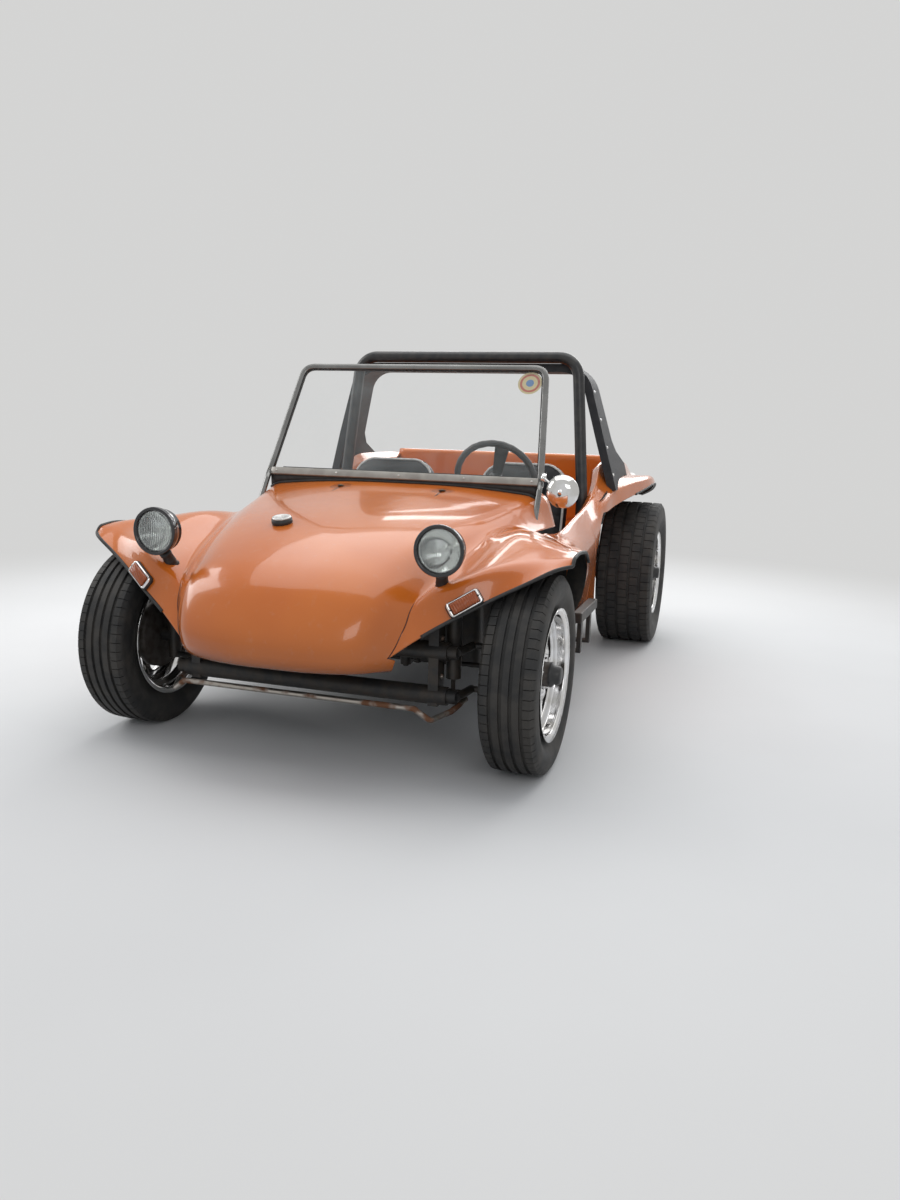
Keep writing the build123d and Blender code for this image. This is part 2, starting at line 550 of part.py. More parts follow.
# Engine: case, finned cylinders, fan shroud, generator and exhaust
engine = block((-130, 130), (GEARBOX_Y[1] + GAP, 2560), (262, 500), 20)
engine += rod((0, 2550, 360), (0, 2600, 360), 30) + rod((0, 2596, 360), (0, 2612, 360), 86)
cylinders = block((130, 340), (2250, 2400), (340, 440)) + block((130, 340), (2420, 2540), (340, 440))
FIN, FIN_STEP = 6, 18
for k in range(9):
    x = 150 + k * FIN_STEP
    cylinders += block((x, x + FIN), (2236, 2552), (322, 458))
cylinders += block((338, 372), (2232, 2556), (318, 462)) + block((372, 404), (2250, 2540), (336, 430), 8)
engine += cylinders + mirrored(cylinders)
shroud_face = make_face(Wire([Line((-290, 500 + GAP), (290, 500 + GAP)), Line((290, 500 + GAP), (290, 640)),
                              ThreePointArc((290, 640), (0, 800), (-290, 640)),
                              Line((-290, 640), (-290, 500 + GAP))]))
shroud = extrude(across_y(2410) * shroud_face, 100)
shroud += rod((0, 2408, 650), (0, 2560, 650), 46) + rod((0, 2556, 650), (0, 2574, 650), 60)
TAIL_END = WHEELBASE + TAIL_OVERHANG
MUFFLER = (2612, 222)
muffler = rod((-290, *MUFFLER), (290, *MUFFLER), 46)
for x in (-90, 90):
    muffler += tube([(x, *MUFFLER), (x, 2640, 195), (x, TAIL_END, 195)], 17, 12)
for x in (-250, 250):
    muffler += tube([(x, MUFFLER[0] - 12, MUFFLER[1]), (x, 2500, 270), (x, 2500, 322 - GAP)], 18, 20)

# Lamps: round bowls on rubber feet in the valleys beside the hood, and flat signals on the wings
LAMP = (469, -284, 709)
LAMP_R, LENS_R, LENS_DEPTH = 75, 66, 14
LAMP_FOOT, LAMP_FOOT_R = ((457, -206, 580), (465, -244, 650)), 18
lamp_profile = [(0, 0), (LAMP_R, 0), (LAMP_R, 20), (69, 44), (46, 72), (0, 82)]
bowl = revolve(make_face(Polyline(*lamp_profile, close=True)), Axis.Y)
bowl -= rod((0, -1, 0), (0, LENS_DEPTH, 0), LENS_R + GAP)
bowl = Pos(*LAMP) * bowl + rod(*LAMP_FOOT, LAMP_FOOT_R)
stalk_hole = rod(*LAMP_FOOT, LAMP_FOOT_R + GAP)
front_wing = largest(front_wing - stalk_hole)
hood -= stalk_hole + mirrored(stalk_hole)
lens = Pos(*LAMP) * rod((0, -6, 0), (0, LENS_DEPTH - GAP, 0), LENS_R)

SIGNAL = (540, -251, 558)
SIGNAL_NECK, SIGNAL_BODY, SIGNAL_LENS = (80, 26, 6), (110, 50, 12), (96, 36, 8)
signal_plane = Plane(origin=SIGNAL, x_dir=(0.785, 0.376, 0.493), z_dir=(0.219, -0.912, 0.346))


def signal_plate(size, low, high, grow=0):
    """Rounded plate of a signal between two heights over the wing."""
    width, height, corner = size
    return extrude(signal_plane.offset(low) * RectangleRounded(width + 2 * grow, height + 2 * grow, corner),
                   high - low)


bezel = signal_plate(SIGNAL_NECK, -14, 5) + signal_plate(SIGNAL_BODY, 4, 17)
front_wing -= signal_plate(SIGNAL_NECK, -30, 30, GAP)
front_wing = largest(front_wing - signal_plate(SIGNAL_BODY, 4 - GAP, 30, GAP))
signal = signal_plate(SIGNAL_LENS, 17 + GAP, 28)

tail_lamps = [Pos(x, TAIL_Y + SKIN + GAP, 790) * Rot(-90, 0, 0)
              * Cylinder(40, 32, align=(Align.CENTER, Align.CENTER, Align.MIN)) for x in (-630, 630)]

keep("hood_nose", hood)
for side, flip in (("left", lambda s: s), ("right", mirrored)):
    keep(f"front_wing_{side}", flip(front_wing))
    keep(f"body_side_{side}", flip(body_side))
    keep(f"rear_wing_{side}", flip(rear_wing))
    keep(f"knuckle_{side}", flip(knuckle))
keep("rear_deck", deck)
keep("tub", tub)
keep("platform", platform)
keep("dash", dash, *gauges)
keep("fuel_tank", tank + cap)
keep("screen_frame", frame, *spindles)
keep("screen_glass", glass)
keep("mirror", mirror)
keep("roll_hoop", hoop)
keep("roof_band", targa)
keep("seat_driver", *[Pos(SEAT_X, 0, 0) * s for s in seat()])
keep("seat_passenger", *[Pos(-SEAT_X, 0, 0) * s for s in seat()])
keep("steering_column", column_jacket)
keep("steering_wheel", steering_wheel)
keep("controls", gear_lever, handbrake, *pedals)
keep("front_beam", front_beam)
keep("anti_roll_bar", anti_roll)
keep("tie_rod", tie_rod)
keep("pitman_arm", pitman)
keep("rear_axle", rear_axle)
keep("dampers", *[d for shape in dampers for d in both(shape)])
keep("engine", engine, shroud)
keep("exhaust", muffler)
keep("headlamp_bowls", *both(bowl))
keep("headlamp_lenses", *both(lens))
keep("signal_bezels", *both(bezel))
keep("signal_lenses", *both(signal))
keep("tail_lamps", *tail_lamps)

os.makedirs("parts", exist_ok=True)
for name, shape in made.items():
    print(name, shape.is_valid, len(shape.solids()), round(shape.volume / 1e3), "cm3")
    export_step(shape, f"parts/{name}.step")
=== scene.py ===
"""Looks of an open dune buggy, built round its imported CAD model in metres.

+X is the car's left, +Y its tail and +Z up. Body tables repeat the model's sections in millimetres
with Y counted from the front axle; FRONT moves them into the model's frame.
"""
from math import cos, pi, radians, sin

import bmesh
import bpy
import numpy as np
from mathutils import Matrix, Vector
from mathutils.bvhtree import BVHTree


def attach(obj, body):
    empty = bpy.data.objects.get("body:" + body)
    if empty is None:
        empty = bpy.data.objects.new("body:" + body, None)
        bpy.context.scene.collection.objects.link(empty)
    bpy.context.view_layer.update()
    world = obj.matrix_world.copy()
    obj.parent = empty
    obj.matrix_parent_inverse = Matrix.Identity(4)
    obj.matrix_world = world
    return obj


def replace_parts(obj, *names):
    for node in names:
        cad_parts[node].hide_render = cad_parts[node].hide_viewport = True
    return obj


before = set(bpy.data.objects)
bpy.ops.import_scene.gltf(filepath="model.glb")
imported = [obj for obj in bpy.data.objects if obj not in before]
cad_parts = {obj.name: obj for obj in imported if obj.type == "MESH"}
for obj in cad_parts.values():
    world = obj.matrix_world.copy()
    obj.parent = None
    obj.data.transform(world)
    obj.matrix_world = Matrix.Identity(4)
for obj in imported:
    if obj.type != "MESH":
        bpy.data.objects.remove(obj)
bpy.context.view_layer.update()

# Front shell: nose, hood and front wings are one glass-fibre moulding in orange gelcoat, held to
# the platform along the scuttle. Hood rows run from the crown to a crease in tilted planes, wing
# rows from the crease outward, and both are eased together where they meet
FRONT_Y = -1.087                         # Y of the front axle in the model's frame
FRONT = np.array((0, FRONT_Y, 0))
SHELL_WALL, SEAM = 0.006, 0.0004


class Value:
    """A shader socket that can be used in sums and products like a number."""

    def __init__(self, shader, socket):
        self.shader, self.socket = shader, socket

    def math(self, operation, *others):
        return self.shader.node("ShaderNodeMath", {"operation": operation}, enumerate((self, *others)))

    def __add__(self, other):
        return self.math("ADD", other)

    def __sub__(self, other):
        return self.math("SUBTRACT", other)

    def __mul__(self, other):
        return self.math("MULTIPLY", other)

    __radd__, __rmul__ = __add__, __mul__

    def __rsub__(self, other):
        return (self * -1) + other

    def step(self, low, high):
        """0 below low and 1 above high, smooth between."""
        values = {"Value": self, "From Min": low, "From Max": high, "To Min": 0.0, "To Max": 1.0}
        return self.shader.node("ShaderNodeMapRange", {"interpolation_type": "SMOOTHSTEP"}, values)


class Shader:
    """A material being made: one Principled surface and the nodes that feed it."""

    def __init__(self, name, color, roughness=0.5, metallic=0.0):
        self.material = bpy.data.materials.new(name)
        self.material.use_nodes = True
        self.tree = self.material.node_tree
        self.surface = self.tree.nodes["Principled BSDF"]
        self.set(Base_Color=color, Roughness=roughness, Metallic=metallic)

    def node(self, kind, settings=(), values=(), result=0):
        """One node: its settings first, then values or links by socket, and the Value of one result."""
        made = self.tree.nodes.new(kind)
        for name, setting in dict(settings).items():
            setattr(made, name, setting)
        for name, value in dict(values).items():
            self.feed(made.inputs[name], value)
        return Value(self, made.outputs[result])

    def feed(self, slot, value):
        if isinstance(value, Value):
            self.tree.links.new(value.socket, slot)
        elif slot.type == "RGBA":
            slot.default_value = (*value, 1.0)
        else:
            slot.default_value = value

    def set(self, **values):
        """Feeds the surface's inputs, each named with _ for a space."""
        for name, value in values.items():
            self.feed(self.surface.inputs[name.replace("_", " ")], value)

    def place(self):
        """The point on the object, in metres."""
        return self.node("ShaderNodeTexCoord", result="Object")

    def axis(self, name):
        return self.node("ShaderNodeSeparateXYZ", values={"Vector": self.place()}, result=name)

    def noise(self, scale, detail=3.0):
        values = {"Vector": self.place(), "Scale": scale, "Detail": detail}
        return self.node("ShaderNodeTexNoise", values=values)

    def cells(self, scale):
        return self.node("ShaderNodeTexVoronoi", values={"Vector": self.place(), "Scale": scale})

    def measure(self, operation, vector):
        """One number from the point and a fixed vector, by a Vector Math operation."""
        values = {0: self.place(), 1: tuple(float(v) for v in vector)}
        return self.node("ShaderNodeVectorMath", {"operation": operation}, values, "Value")

    def waves(self, way, scale):
        """Parallel ripples across a direction, scale of them in a metre."""
        return (self.measure("DOT_PRODUCT", way) * (2 * pi * scale)).math("SINE") * 0.5 + 0.5

    def near(self, point):
        """Distance in metres from a point of the object."""
        return self.measure("DISTANCE", point)

    def mix(self, share, a, b):
        return self.node("ShaderNodeMix", {"data_type": "RGBA"}, {0: share, 6: a, 7: b}, 2)

    def bump(self, height, distance):
        values = {"Height": height, "Distance": distance, "Strength": 1.0}
        self.set(Normal=self.node("ShaderNodeBump", values=values))


def grained(name, color, dark, roughness, scale, metallic=0.0, bump=0.0, spread=0.12):
    """Plain material with two tones, uneven roughness and a fine bump from one noise."""
    s = Shader(name, color, roughness, metallic)
    s.set(Base_Color=s.mix(s.noise(scale, 5.0).step(0.35, 0.65), dark, color),
          Roughness=s.noise(scale * 2.3, 4.0) * spread + (roughness - spread / 2))
    if bump:
        s.bump(s.noise(scale * 6), bump)
    return s


gelcoat = Shader("orange_body", (0.6, 0.15, 0.02), 0.22)
orange = gelcoat.mix(gelcoat.noise(2.2).step(0.3, 0.7), (0.56, 0.13, 0.016), (0.64, 0.168, 0.024))
dusty = gelcoat.mix(gelcoat.noise(38.0, 6.0).step(0.56, 0.8) * 0.08, orange, (0.6, 0.45, 0.33))
gelcoat.set(Base_Color=dusty, Roughness=gelcoat.noise(9.0, 5.0) * 0.14 + 0.12,
            Specular_IOR_Level=0.25, Coat_Weight=0.7, Coat_Roughness=0.045)
gelcoat.bump(gelcoat.noise(420.0, 2.0) * 0.4 + gelcoat.noise(14.0, 2.0), 0.0006)
underseal = grained("underseal", (0.02, 0.019, 0.018), (0.04, 0.034, 0.028), 0.85, 30.0, bump=0.0012)


def edit_mesh(made, change):
    """Runs a change on the object's mesh."""
    mesh = bmesh.new()
    mesh.from_mesh(made.data)
    change(mesh)
    mesh.to_mesh(made.data)
    mesh.free()


def weld(made, distance):
    """Merges points that lie on one another, so that normals run on across a seam."""
    edit_mesh(made, lambda mesh: bmesh.ops.remove_doubles(mesh, verts=mesh.verts, dist=distance))


def linked(name, mesh):
    """An object of the scene that shows a mesh."""
    made = bpy.data.objects.new(name, mesh)
    bpy.context.scene.collection.objects.link(made)
    return made


def plain_mesh(name, points, faces):
    mesh = bpy.data.meshes.new(name)
    mesh.from_pydata([tuple(p) for p in points], [], [tuple(f) for f in faces])
    return mesh


def joined(grids, ring=True):
    """Points and quads of several grids of rows by columns points; ring closes each row on itself."""
    points, faces, start = [], [], 0
    for grid in grids:
        rows, columns = grid.shape[:2]
        j = np.arange(columns if ring else columns - 1)
        k = (j + 1) % columns
        low = np.arange(rows - 1)[:, None] * columns + start
        high = low + columns
        faces.append(np.stack([low + j, low + k, high + k, high + j], -1).reshape(-1, 4))
        points.append(grid.reshape(-1, 3))
        start += rows * columns
    return np.concatenate(points), np.concatenate(faces)


def piece(name, form, material, body="chassis", smooth=True):
    """A mesh object that rides a body; its form is a list of grids of rings, or points and faces."""
    mesh = plain_mesh(name, *(joined(form) if isinstance(form, list) else form))
    mesh.materials.append(material.material)
    mesh.polygons.foreach_set("use_smooth", [smooth] * len(mesh.polygons))
    mesh.update()
    made = linked(name, mesh)
    weld(made, 0.00002)
    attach(made, body)
    return made


def unit(vectors):
    """Vectors at length 1."""
    vectors = np.asarray(vectors, float)
    return vectors / np.linalg.norm(vectors, axis=-1, keepdims=True)


def sides(form):
    """A form in metres from the front axle, on the left and mirrored on the right of the model."""
    return [np.asarray(form) * (side, 1, 1) + FRONT for side in (1, -1)]


def halves(*grids, whole=None):
    """Points and faces of a whole grid, and of grids on the left with their mirror images."""
    both = [] if whole is None else [whole + FRONT]
    for grid in grids:
        both += [grid + FRONT, (grid * (-1, 1, 1))[:, ::-1] + FRONT]
    return joined(both, False)


def pipe(line, radius, steps=12):
    """Ring rows of a round tube with closed ends along a line, with frames carried along it."""
    line = np.asarray(line, float)
    ways = unit(np.gradient(line, axis=0))
    up = np.cross(ways[0], (0.0, 0.0, 1.0) if abs(ways[0][2]) < 0.9 else (1.0, 0.0, 0.0))
    angles = np.linspace(0, 2 * pi, steps, endpoint=False)[:, None]
    rows = [np.repeat(line[:1], steps, 0)]
    for point, way in zip(line, ways):
        up = unit(up - way * up.dot(way))
        rows.append(point + (np.cos(angles) * up + np.sin(angles) * np.cross(way, up)) * radius)
    return np.array([*rows, np.repeat(line[-1:], steps, 0)])


def turn(a, p, b, t):
    """Points of a quadratic curve from a to b that is drawn to p: (1-t)^2 a + 2t(1-t) p + t^2 b."""
    return (1 - t) ** 2 * a + 2 * t * (1 - t) * p + t ** 2 * b


def rounded_path(corners, reaches, line_steps, turn_steps):
    """Points along a path, each inner corner eased by a turn that starts and ends at its reach."""
    corners = np.asarray(corners, float)
    points, last = [], corners[0]
    line_t, turn_t = (np.linspace(0, 1, n, endpoint=False)[:, None] for n in (line_steps, turn_steps))
    for p, before, after, reach in zip(corners[1:-1], corners, corners[2:], reaches):
        a, b = p + unit(before - p) * reach, p + unit(after - p) * reach
        points += [last + (a - last) * line_t, turn(a, p, b, turn_t)]
        last = b
    return np.vstack([*points, last + (corners[-1] - last) * np.linspace(0, 1, line_steps)[:, None]])


def spline(keys, values, at):
    """Natural cubic through rows of values at rising keys, read at other keys."""
    at, h = np.asarray(at, float), np.diff(keys)
    system, right = np.eye(len(keys)), np.zeros_like(values)
    for i in range(1, len(keys) - 1):
        system[i, i - 1:i + 2] = h[i - 1], 2 * (h[i - 1] + h[i]), h[i]
        right[i] = 6 * ((values[i + 1] - values[i]) / h[i] - (values[i] - values[i - 1]) / h[i - 1])
    bend = np.linalg.solve(system, right)
    k = np.clip(np.searchsorted(keys, at) - 1, 0, len(h) - 1)
    a, b, w = (keys[k + 1] - at)[:, None], (at - keys[k])[:, None], h[k][:, None]
    return ((bend[k] * a ** 3 + bend[k + 1] * b ** 3) / (6 * w)
            + (values[k] / w - bend[k] * w / 6) * a + (values[k + 1] / w - bend[k + 1] * w / 6) * b)


def run_along(line):
    """Length of a line up to each of its points."""
    return np.concatenate([[0], np.cumsum(np.linalg.norm(np.diff(line, axis=0), axis=1))])


def along(line, shares):
    """Points of a line at shares of its length, or spaced evenly where shares is their number."""
    run = run_along(line)
    if np.isscalar(shares):
        shares = np.linspace(0, 1, shares)
    return np.stack([np.interp(shares * run[-1], run, column) for column in line.T], -1)


def solid(made, thickness, lining=None):
    """Gives a sheet its wall, kept inside its outer surface, with its own material on the inside."""
    wall = made.modifiers.new("wall", "SOLIDIFY")
    wall.thickness, wall.offset = thickness, -1.0
    if lining:
        made.data.materials.append(lining.material)
        wall.material_offset = 1


HOOD = np.array((
    # y, z, tilt, shoulder x, drop, reach, crease x, drop
    (668, 850, 0, 565, 28, 50, 600, 150),
    (330, 790, 0, 478, 26, 50, 556, 98),
    (0, 735, 0, 384, 24, 56, 476, 98),
    (-220, 676, 16, 322, 28, 52, 444, 115),
    (-360, 612, 42, 308, 34, 50, 401, 135),
    (-450, 528, 68, 298, 42, 46, 381, 165),
    (-486, 440, 90, 284, 46, 44, 372, 176),
    (-472, 385, 90, 278, 44, 42, 357, 152),
    (-440, 356, 90, 268, 42, 40, 343, 136),
    (-392, 343, 90, 252, 40, 38, 330, 112),
), float)
FRONT_WING = np.array((
    # x, then y and z of lip, crest, top, rear crest and rear lip
    (340, -348, 392, -302, 472, 60, 622, 475, 686, 650, 246),
    (372, -335, 415, -284, 522, 110, 662, 475, 690, 650, 246),
    (444, -305, 466, -255, 588, 180, 708, 470, 700, 645, 250),
    (510, -279, 508, -240, 618, 220, 724, 462, 702, 638, 265),
    (580, -246, 549, -208, 647, 205, 740, 440, 694, 615, 312),
    (640, -216, 583, -168, 661, 150, 736, 405, 688, 585, 350),
    (730, -178, 632, -112, 672, 60, 716, 330, 674, 500, 440),
    (790, -148, 662, -100, 685, 0, 704, 210, 680, 330, 590),
    (820, -112, 667, -95, 688, -20, 696, 100, 686, 150, 648),
), float)
WING_REACH, WING_STEPS = (30, 120, 60), 20
REAR_CREST = WING_STEPS * 5 + WING_STEPS // 2    # row in the middle of the rear crest's turn
HOOD_ROWS, WING_COLUMNS = 420, 100
EASE_TOP, EASE_FRONT = 0.03, 0.008              # easing at the valley and at the nose's crease
EASE_Z, EASE_RISE = 0.54, 0.1                   # where it starts to widen, and over what height
SHELL_COUNTS, INNER = (44, 10, 46), 49           # columns to, round and from the crease
SMOOTHINGS, CALM_COLUMNS = 14, 12


def hood_row(y, z, tilt, shoulder, shoulder_drop, reach, crease, crease_drop, spare=25.0):
    """One half section from crown to a little past its crease, in metres."""
    middle = 0.52 * shoulder
    leg = np.hypot(shoulder - middle, shoulder_drop) - reach
    end = (crease, -crease_drop) + unit((crease - shoulder, shoulder_drop - crease_drop)) * spare
    flat = rounded_path([(0, 0), (middle, 0), (shoulder, -shoulder_drop), end],
                        [0.95 * min(middle, leg), reach], 8, 24)
    t = radians(tilt)
    return np.stack([flat[:, 0], y - flat[:, 1] * sin(t), z + flat[:, 1] * cos(t)], -1) / 1000


def wing_row(x, *row):
    """One section of a wing across X, in metres."""
    corners = np.reshape(row, (5, 2))
    legs = np.linalg.norm(np.diff(corners, axis=0), axis=1)
    reaches = [min(r, 0.42 * a, 0.42 * b) for r, a, b in zip(WING_REACH, legs, legs[1:])]
    flat = rounded_path(corners, reaches, WING_STEPS, WING_STEPS)
    return np.column_stack([np.full(len(flat), x), flat]) / 1000


hood_key = run_along(HOOD[:, :2])
hood_rows = spline(hood_key, HOOD, np.linspace(0, hood_key[-1], HOOD_ROWS))
hood_grid = np.array([hood_row(*row) for row in hood_rows])
wing_x = np.linspace(FRONT_WING[0, 0], FRONT_WING[-1, 0], WING_COLUMNS)
wing_rows = spline(FRONT_WING[:, 0], FRONT_WING[:, 1:], wing_x)
wing_grid = np.stack([wing_row(x, *row) for x, row in zip(wing_x, wing_rows)], 1)
hood_tree = BVHTree.FromPolygons(*(part.tolist() for part in joined([hood_grid], False)))


def crease_on(row):
    """Where a wing row comes in to the hood: its point, the hood's station there, and its index."""
    for j in range(len(row) - 1, 0, -1):
        way = Vector(row[j - 1] - row[j])
        hit, _, face, _ = hood_tree.ray_cast(Vector(row[j]), way.normalized(), way.length)
        if hit is not None:
            station, column = divmod(face, hood_grid.shape[1] - 1)
            a, b = hood_grid[station, column], hood_grid[station + 1, column]
            share = np.clip(np.dot(np.array(hit) - a, b - a) / np.dot(b - a, b - a), 0, 1)
            return np.array(hit), station + share, j
    return None


def cut_at(row, point):
    """The row's start up to the place nearest to a point, ending on the point."""
    back = row[:int(np.argmin(np.linalg.norm(row - point, axis=1))) + 1]
    while len(back) > 2 and np.dot(back[-1] - back[-2], point - back[-1]) < 0:
        back = back[:-1]
    return np.vstack([back, point])


def eased(inner, outer, ease, counts):
    """Two lines that meet at a corner joined by a quadratic curve of that reach, evenly spaced."""
    corner = inner[-1]
    a_line, b_line = along(inner, 400)[::-1], along(outer, 400)
    a_at, b_at = (int(np.argmax(np.linalg.norm(line - corner, axis=1) > ease)) for line in (a_line, b_line))
    middle = turn(a_line[a_at], corner, b_line[b_at], np.linspace(0, 1, counts[1] + 2)[1:-1, None])
    return np.vstack([along(a_line[a_at:][::-1], counts[0]), middle, along(b_line[b_at:], counts[2])])


shell_rows, stations, creases = [], [], []
for row in wing_grid[:REAR_CREST]:
    found = crease_on(row)
    if found is None:
        continue
    point, station, j = found
    k = min(int(station), HOOD_ROWS - 2)
    hood_line = hood_grid[k] + (hood_grid[k + 1] - hood_grid[k]) * (station - k)
    ease = EASE_FRONT + (EASE_TOP - EASE_FRONT) * np.clip((point[2] - EASE_Z) / EASE_RISE, 0, 1)
    shell_rows.append(eased(cut_at(hood_line, point), np.vstack([point, row[j:]]), ease, SHELL_COUNTS))
    stations.append(station)
    creases.append(point)
shell_rows = np.array(shell_rows)
calm = np.clip(np.arange(sum(SHELL_COUNTS))[::-1] / CALM_COLUMNS, 0, 1)[:, None]
for _ in range(SMOOTHINGS):
    shell_rows[1:-1] += calm * ((shell_rows[:-2] + shell_rows[2:]) / 2 - shell_rows[1:-1]) / 2


def fill(rows, edge):
    """Hood rows without their spare, each spaced as an edge of the shell's rows is."""
    shares = run_along(edge) / run_along(edge)[-1]
    return [along(hood_row(*row, spare=0.0), shares) for row in rows]


chin_edge, cowl_edge = shell_rows[0, :INNER], shell_rows[-1, :INNER]
chin = np.array([chin_edge, *fill(hood_rows[int(stations[0]) + 3:], chin_edge)])
cowl = np.array([*fill(hood_rows[:int(stations[-1]) - 2:6], cowl_edge), cowl_edge])
rear_wall = wing_grid[REAR_CREST - 1:, 22:]
points, faces = halves(shell_rows[::-1], rear_wall[::-1], cowl, chin)
front_shell = piece("front_shell", (points, faces[:, ::-1]), gelcoat)
weld(front_shell, SEAM)
solid(front_shell, SHELL_WALL, underseal)
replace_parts(front_shell, "hood_nose", "front_wing_left", "front_wing_right")

# Front beading: a black rubber strip pressed on the wings' edges. It runs from the nose round the
# tip of each wing to its rear lip
rubber = grained("rubber_trim", (0.016, 0.016, 0.016), (0.028, 0.027, 0.026), 0.55, 45.0, bump=0.0002)
STRIP_R, LIP_COLUMN, LIP_POINTS = 0.0055, 62, 120
lip = np.vstack([shell_rows[0, LIP_COLUMN:], wing_grid[1:, -1], rear_wall[::-1, -1][1:]])
strips = [pipe(line, STRIP_R, 10) for line in sides(along(lip, LIP_POINTS))]
piece("front_beading", strips, rubber)

# Rear shell: cockpit sides, rear wings, deck and tail as one moulding. Rows of a side stand at
# rising Y; the lower edge follows the foot of the side, sweeps up before the rear tyre and runs on
# as the lip of the wing. The sides start on the rear wall of the front wings.
SIDE = np.array((
    # y, then x and z of rim's inner edge, rim, shoulder, lip and foot
    (470, 585, 664, 612, 698, 716, 640, 672, 330, 600, 241),
    (620, 590, 652, 617, 686, 712, 606, 668, 326, 600, 241),
    (850, 592, 670, 620, 704, 704, 590, 664, 322, 600, 241),
    (1100, 592, 702, 620, 736, 694, 620, 656, 322, 600, 241),
    (1300, 592, 744, 620, 778, 686, 712, 652, 330, 600, 241),
    (1450, 592, 816, 620, 852, 686, 782, 652, 400, 600, 300),
), float)
REAR_WING = np.array((
    # y, then x and z of rim's inner edge, rim, hollow beside it, shoulder and lip
    (1150, 592, 715, 620, 750, 648, 722, 678, 708, 684, 660),
    (1300, 592, 744, 620, 778, 648, 752, 682, 740, 688, 696),
    (1450, 590, 816, 618, 852, 646, 810, 686, 782, 698, 722),
    (1560, 576, 868, 606, 904, 644, 850, 706, 802, 720, 740),
    (1700, 566, 880, 600, 916, 650, 852, 732, 822, 748, 758),
    (1900, 566, 880, 600, 916, 656, 846, 772, 836, 786, 784),
    (2060, 566, 878, 600, 914, 658, 838, 790, 838, 802, 798),
    (2200, 566, 872, 600, 908, 656, 832, 778, 826, 792, 784),
    (2340, 566, 862, 600, 898, 648, 824, 742, 798, 756, 748),
    (2450, 566, 848, 600, 884, 640, 812, 684, 768, 696, 716),
), float)
ARCH_SWEEP = np.array(((1060, 240), (1095, 420), (1150, 560), (1230, 660), (1301, 714)), float)
ARCH_X = 640                                     # only what lies outside this is swept up
DECK, DECK_X, DECK_FALL = ((2050, 596), (2050, 932), (2459, 892), (2459, 716)), 562, 40 / 409
CUTS_FROM, EVEN_FROM, SIDE_END = 440, 820, 2446  # from EVEN_FROM on, a row stands at one Y
WING_JOIN, DECK_JOIN = (1200, 220), (2020, 60)   # Y at which each blend starts, and its length
ARCH_SPAN, WALL_SPAN = (1062, 1330), (1290, 1640)  # Y of the return in the arch and of the tub's wall
SIDE_COLUMNS, START_ROWS, EVEN_ROWS = 72, 36, 150
TAIL_EDGE, TAIL_FOOT_Z, TUB_X, TUB_Z = 13, 716, 604, 722


def table_line(table, y, reaches):
    """The rounded line of a table's section at y."""
    corners = spline(table[:, 0], table[:, 1:], [np.clip(y, None, table[-1, 0])]).reshape(5, 2)
    return rounded_path(corners, reaches, 8, 10)


def side_section(y):
    """Outer line of the side or wing at y from the rim's inner edge to its lower edge, evenly spaced."""
    side = table_line(SIDE, y, (14, 60, 40))
    if y > ARCH_SWEEP[0, 0]:
        side = along(side, 500)
        below = (side[:, 1] < np.interp(y, *ARCH_SWEEP.T)) & (side[:, 0] > ARCH_X)
        if below.any():
            side = side[:max(60, int(np.argmax(below)))]
    wing = table_line(REAR_WING, max(y, REAR_WING[0, 0]), (14, 28, 22))
    deck_z = DECK[1][1] - (y - DECK[1][0]) * DECK_FALL - 2
    wing[0] += ((DECK_X, deck_z) - wing[0]) * np.clip((y - DECK_JOIN[0]) / DECK_JOIN[1], 0, 1)
    share = np.clip((y - WING_JOIN[0]) / WING_JOIN[1], 0, 1)
    share = share * share * (3 - 2 * share)
    return along(side, SIDE_COLUMNS) * (1 - share) + along(wing, SIDE_COLUMNS) * share


def back_wall(x, z):
    """Where the front wing's rear wall stands at x and z, a little inside its skin."""
    walls = (wing_grid[REAR_CREST - 4:, ::8] * 1000).transpose(1, 0, 2)
    return np.interp(x, wing_x[::8], [np.interp(-z, -wall[:, 2], wall[:, 1]) for wall in walls]) - 4


def between(edge, foot):
    """Eight points from each point of a line to its partner in another."""
    return edge[:, None] + (foot - edge)[:, None] * np.linspace(0, 1, 8)[:, None]


starts = np.full(SIDE_COLUMNS, 560.0)
for column in range(SIDE_COLUMNS):
    for _ in range(8):
        starts[column] = back_wall(*side_section(starts[column])[column])
cut_y = np.linspace(CUTS_FROM, EVEN_FROM, 39)
cuts = np.array([side_section(y) for y in cut_y])
side_rows = []
for t in np.linspace(0, 1, START_ROWS, endpoint=False):
    side_rows.append([(np.interp(y, cut_y, cuts[:, k, 0]), y, np.interp(y, cut_y, cuts[:, k, 1]))
                      for k, y in enumerate(starts + (EVEN_FROM - starts) * t)])
for y in np.linspace(EVEN_FROM, SIDE_END, EVEN_ROWS):
    cut = side_section(y)
    side_rows.append(np.column_stack([cut[:, 0], np.full(SIDE_COLUMNS, y), cut[:, 1]]))
long_rows = side_rows = np.array(side_rows)
ways = np.gradient(side_rows[-1][:, (0, 2)], axis=0)
inward = unit(np.column_stack([ways[:, 1], 0 * ways[:, 1], -ways[:, 0]]))
turned_in = [side_rows[-1] + inward * TAIL_EDGE * (1 - cos(t)) + (0, TAIL_EDGE * sin(t), 0)
             for t in np.linspace(0.15, 1, 6) * pi / 2]
side_rows = np.concatenate([side_rows, turned_in])
rim = side_rows[-1]
tail_foot = np.column_stack([np.clip(rim[:, 0], DECK_X, 700), rim[:, 1], np.full(SIDE_COLUMNS, TAIL_FOOT_Z)])
tail_fill = between(rim, tail_foot).swapaxes(0, 1)
deck = np.array([[(x, y, z) for x in np.linspace(-DECK_X, DECK_X, 41)]
                 for y, z in rounded_path(DECK, (26, 14), 24, 10)])
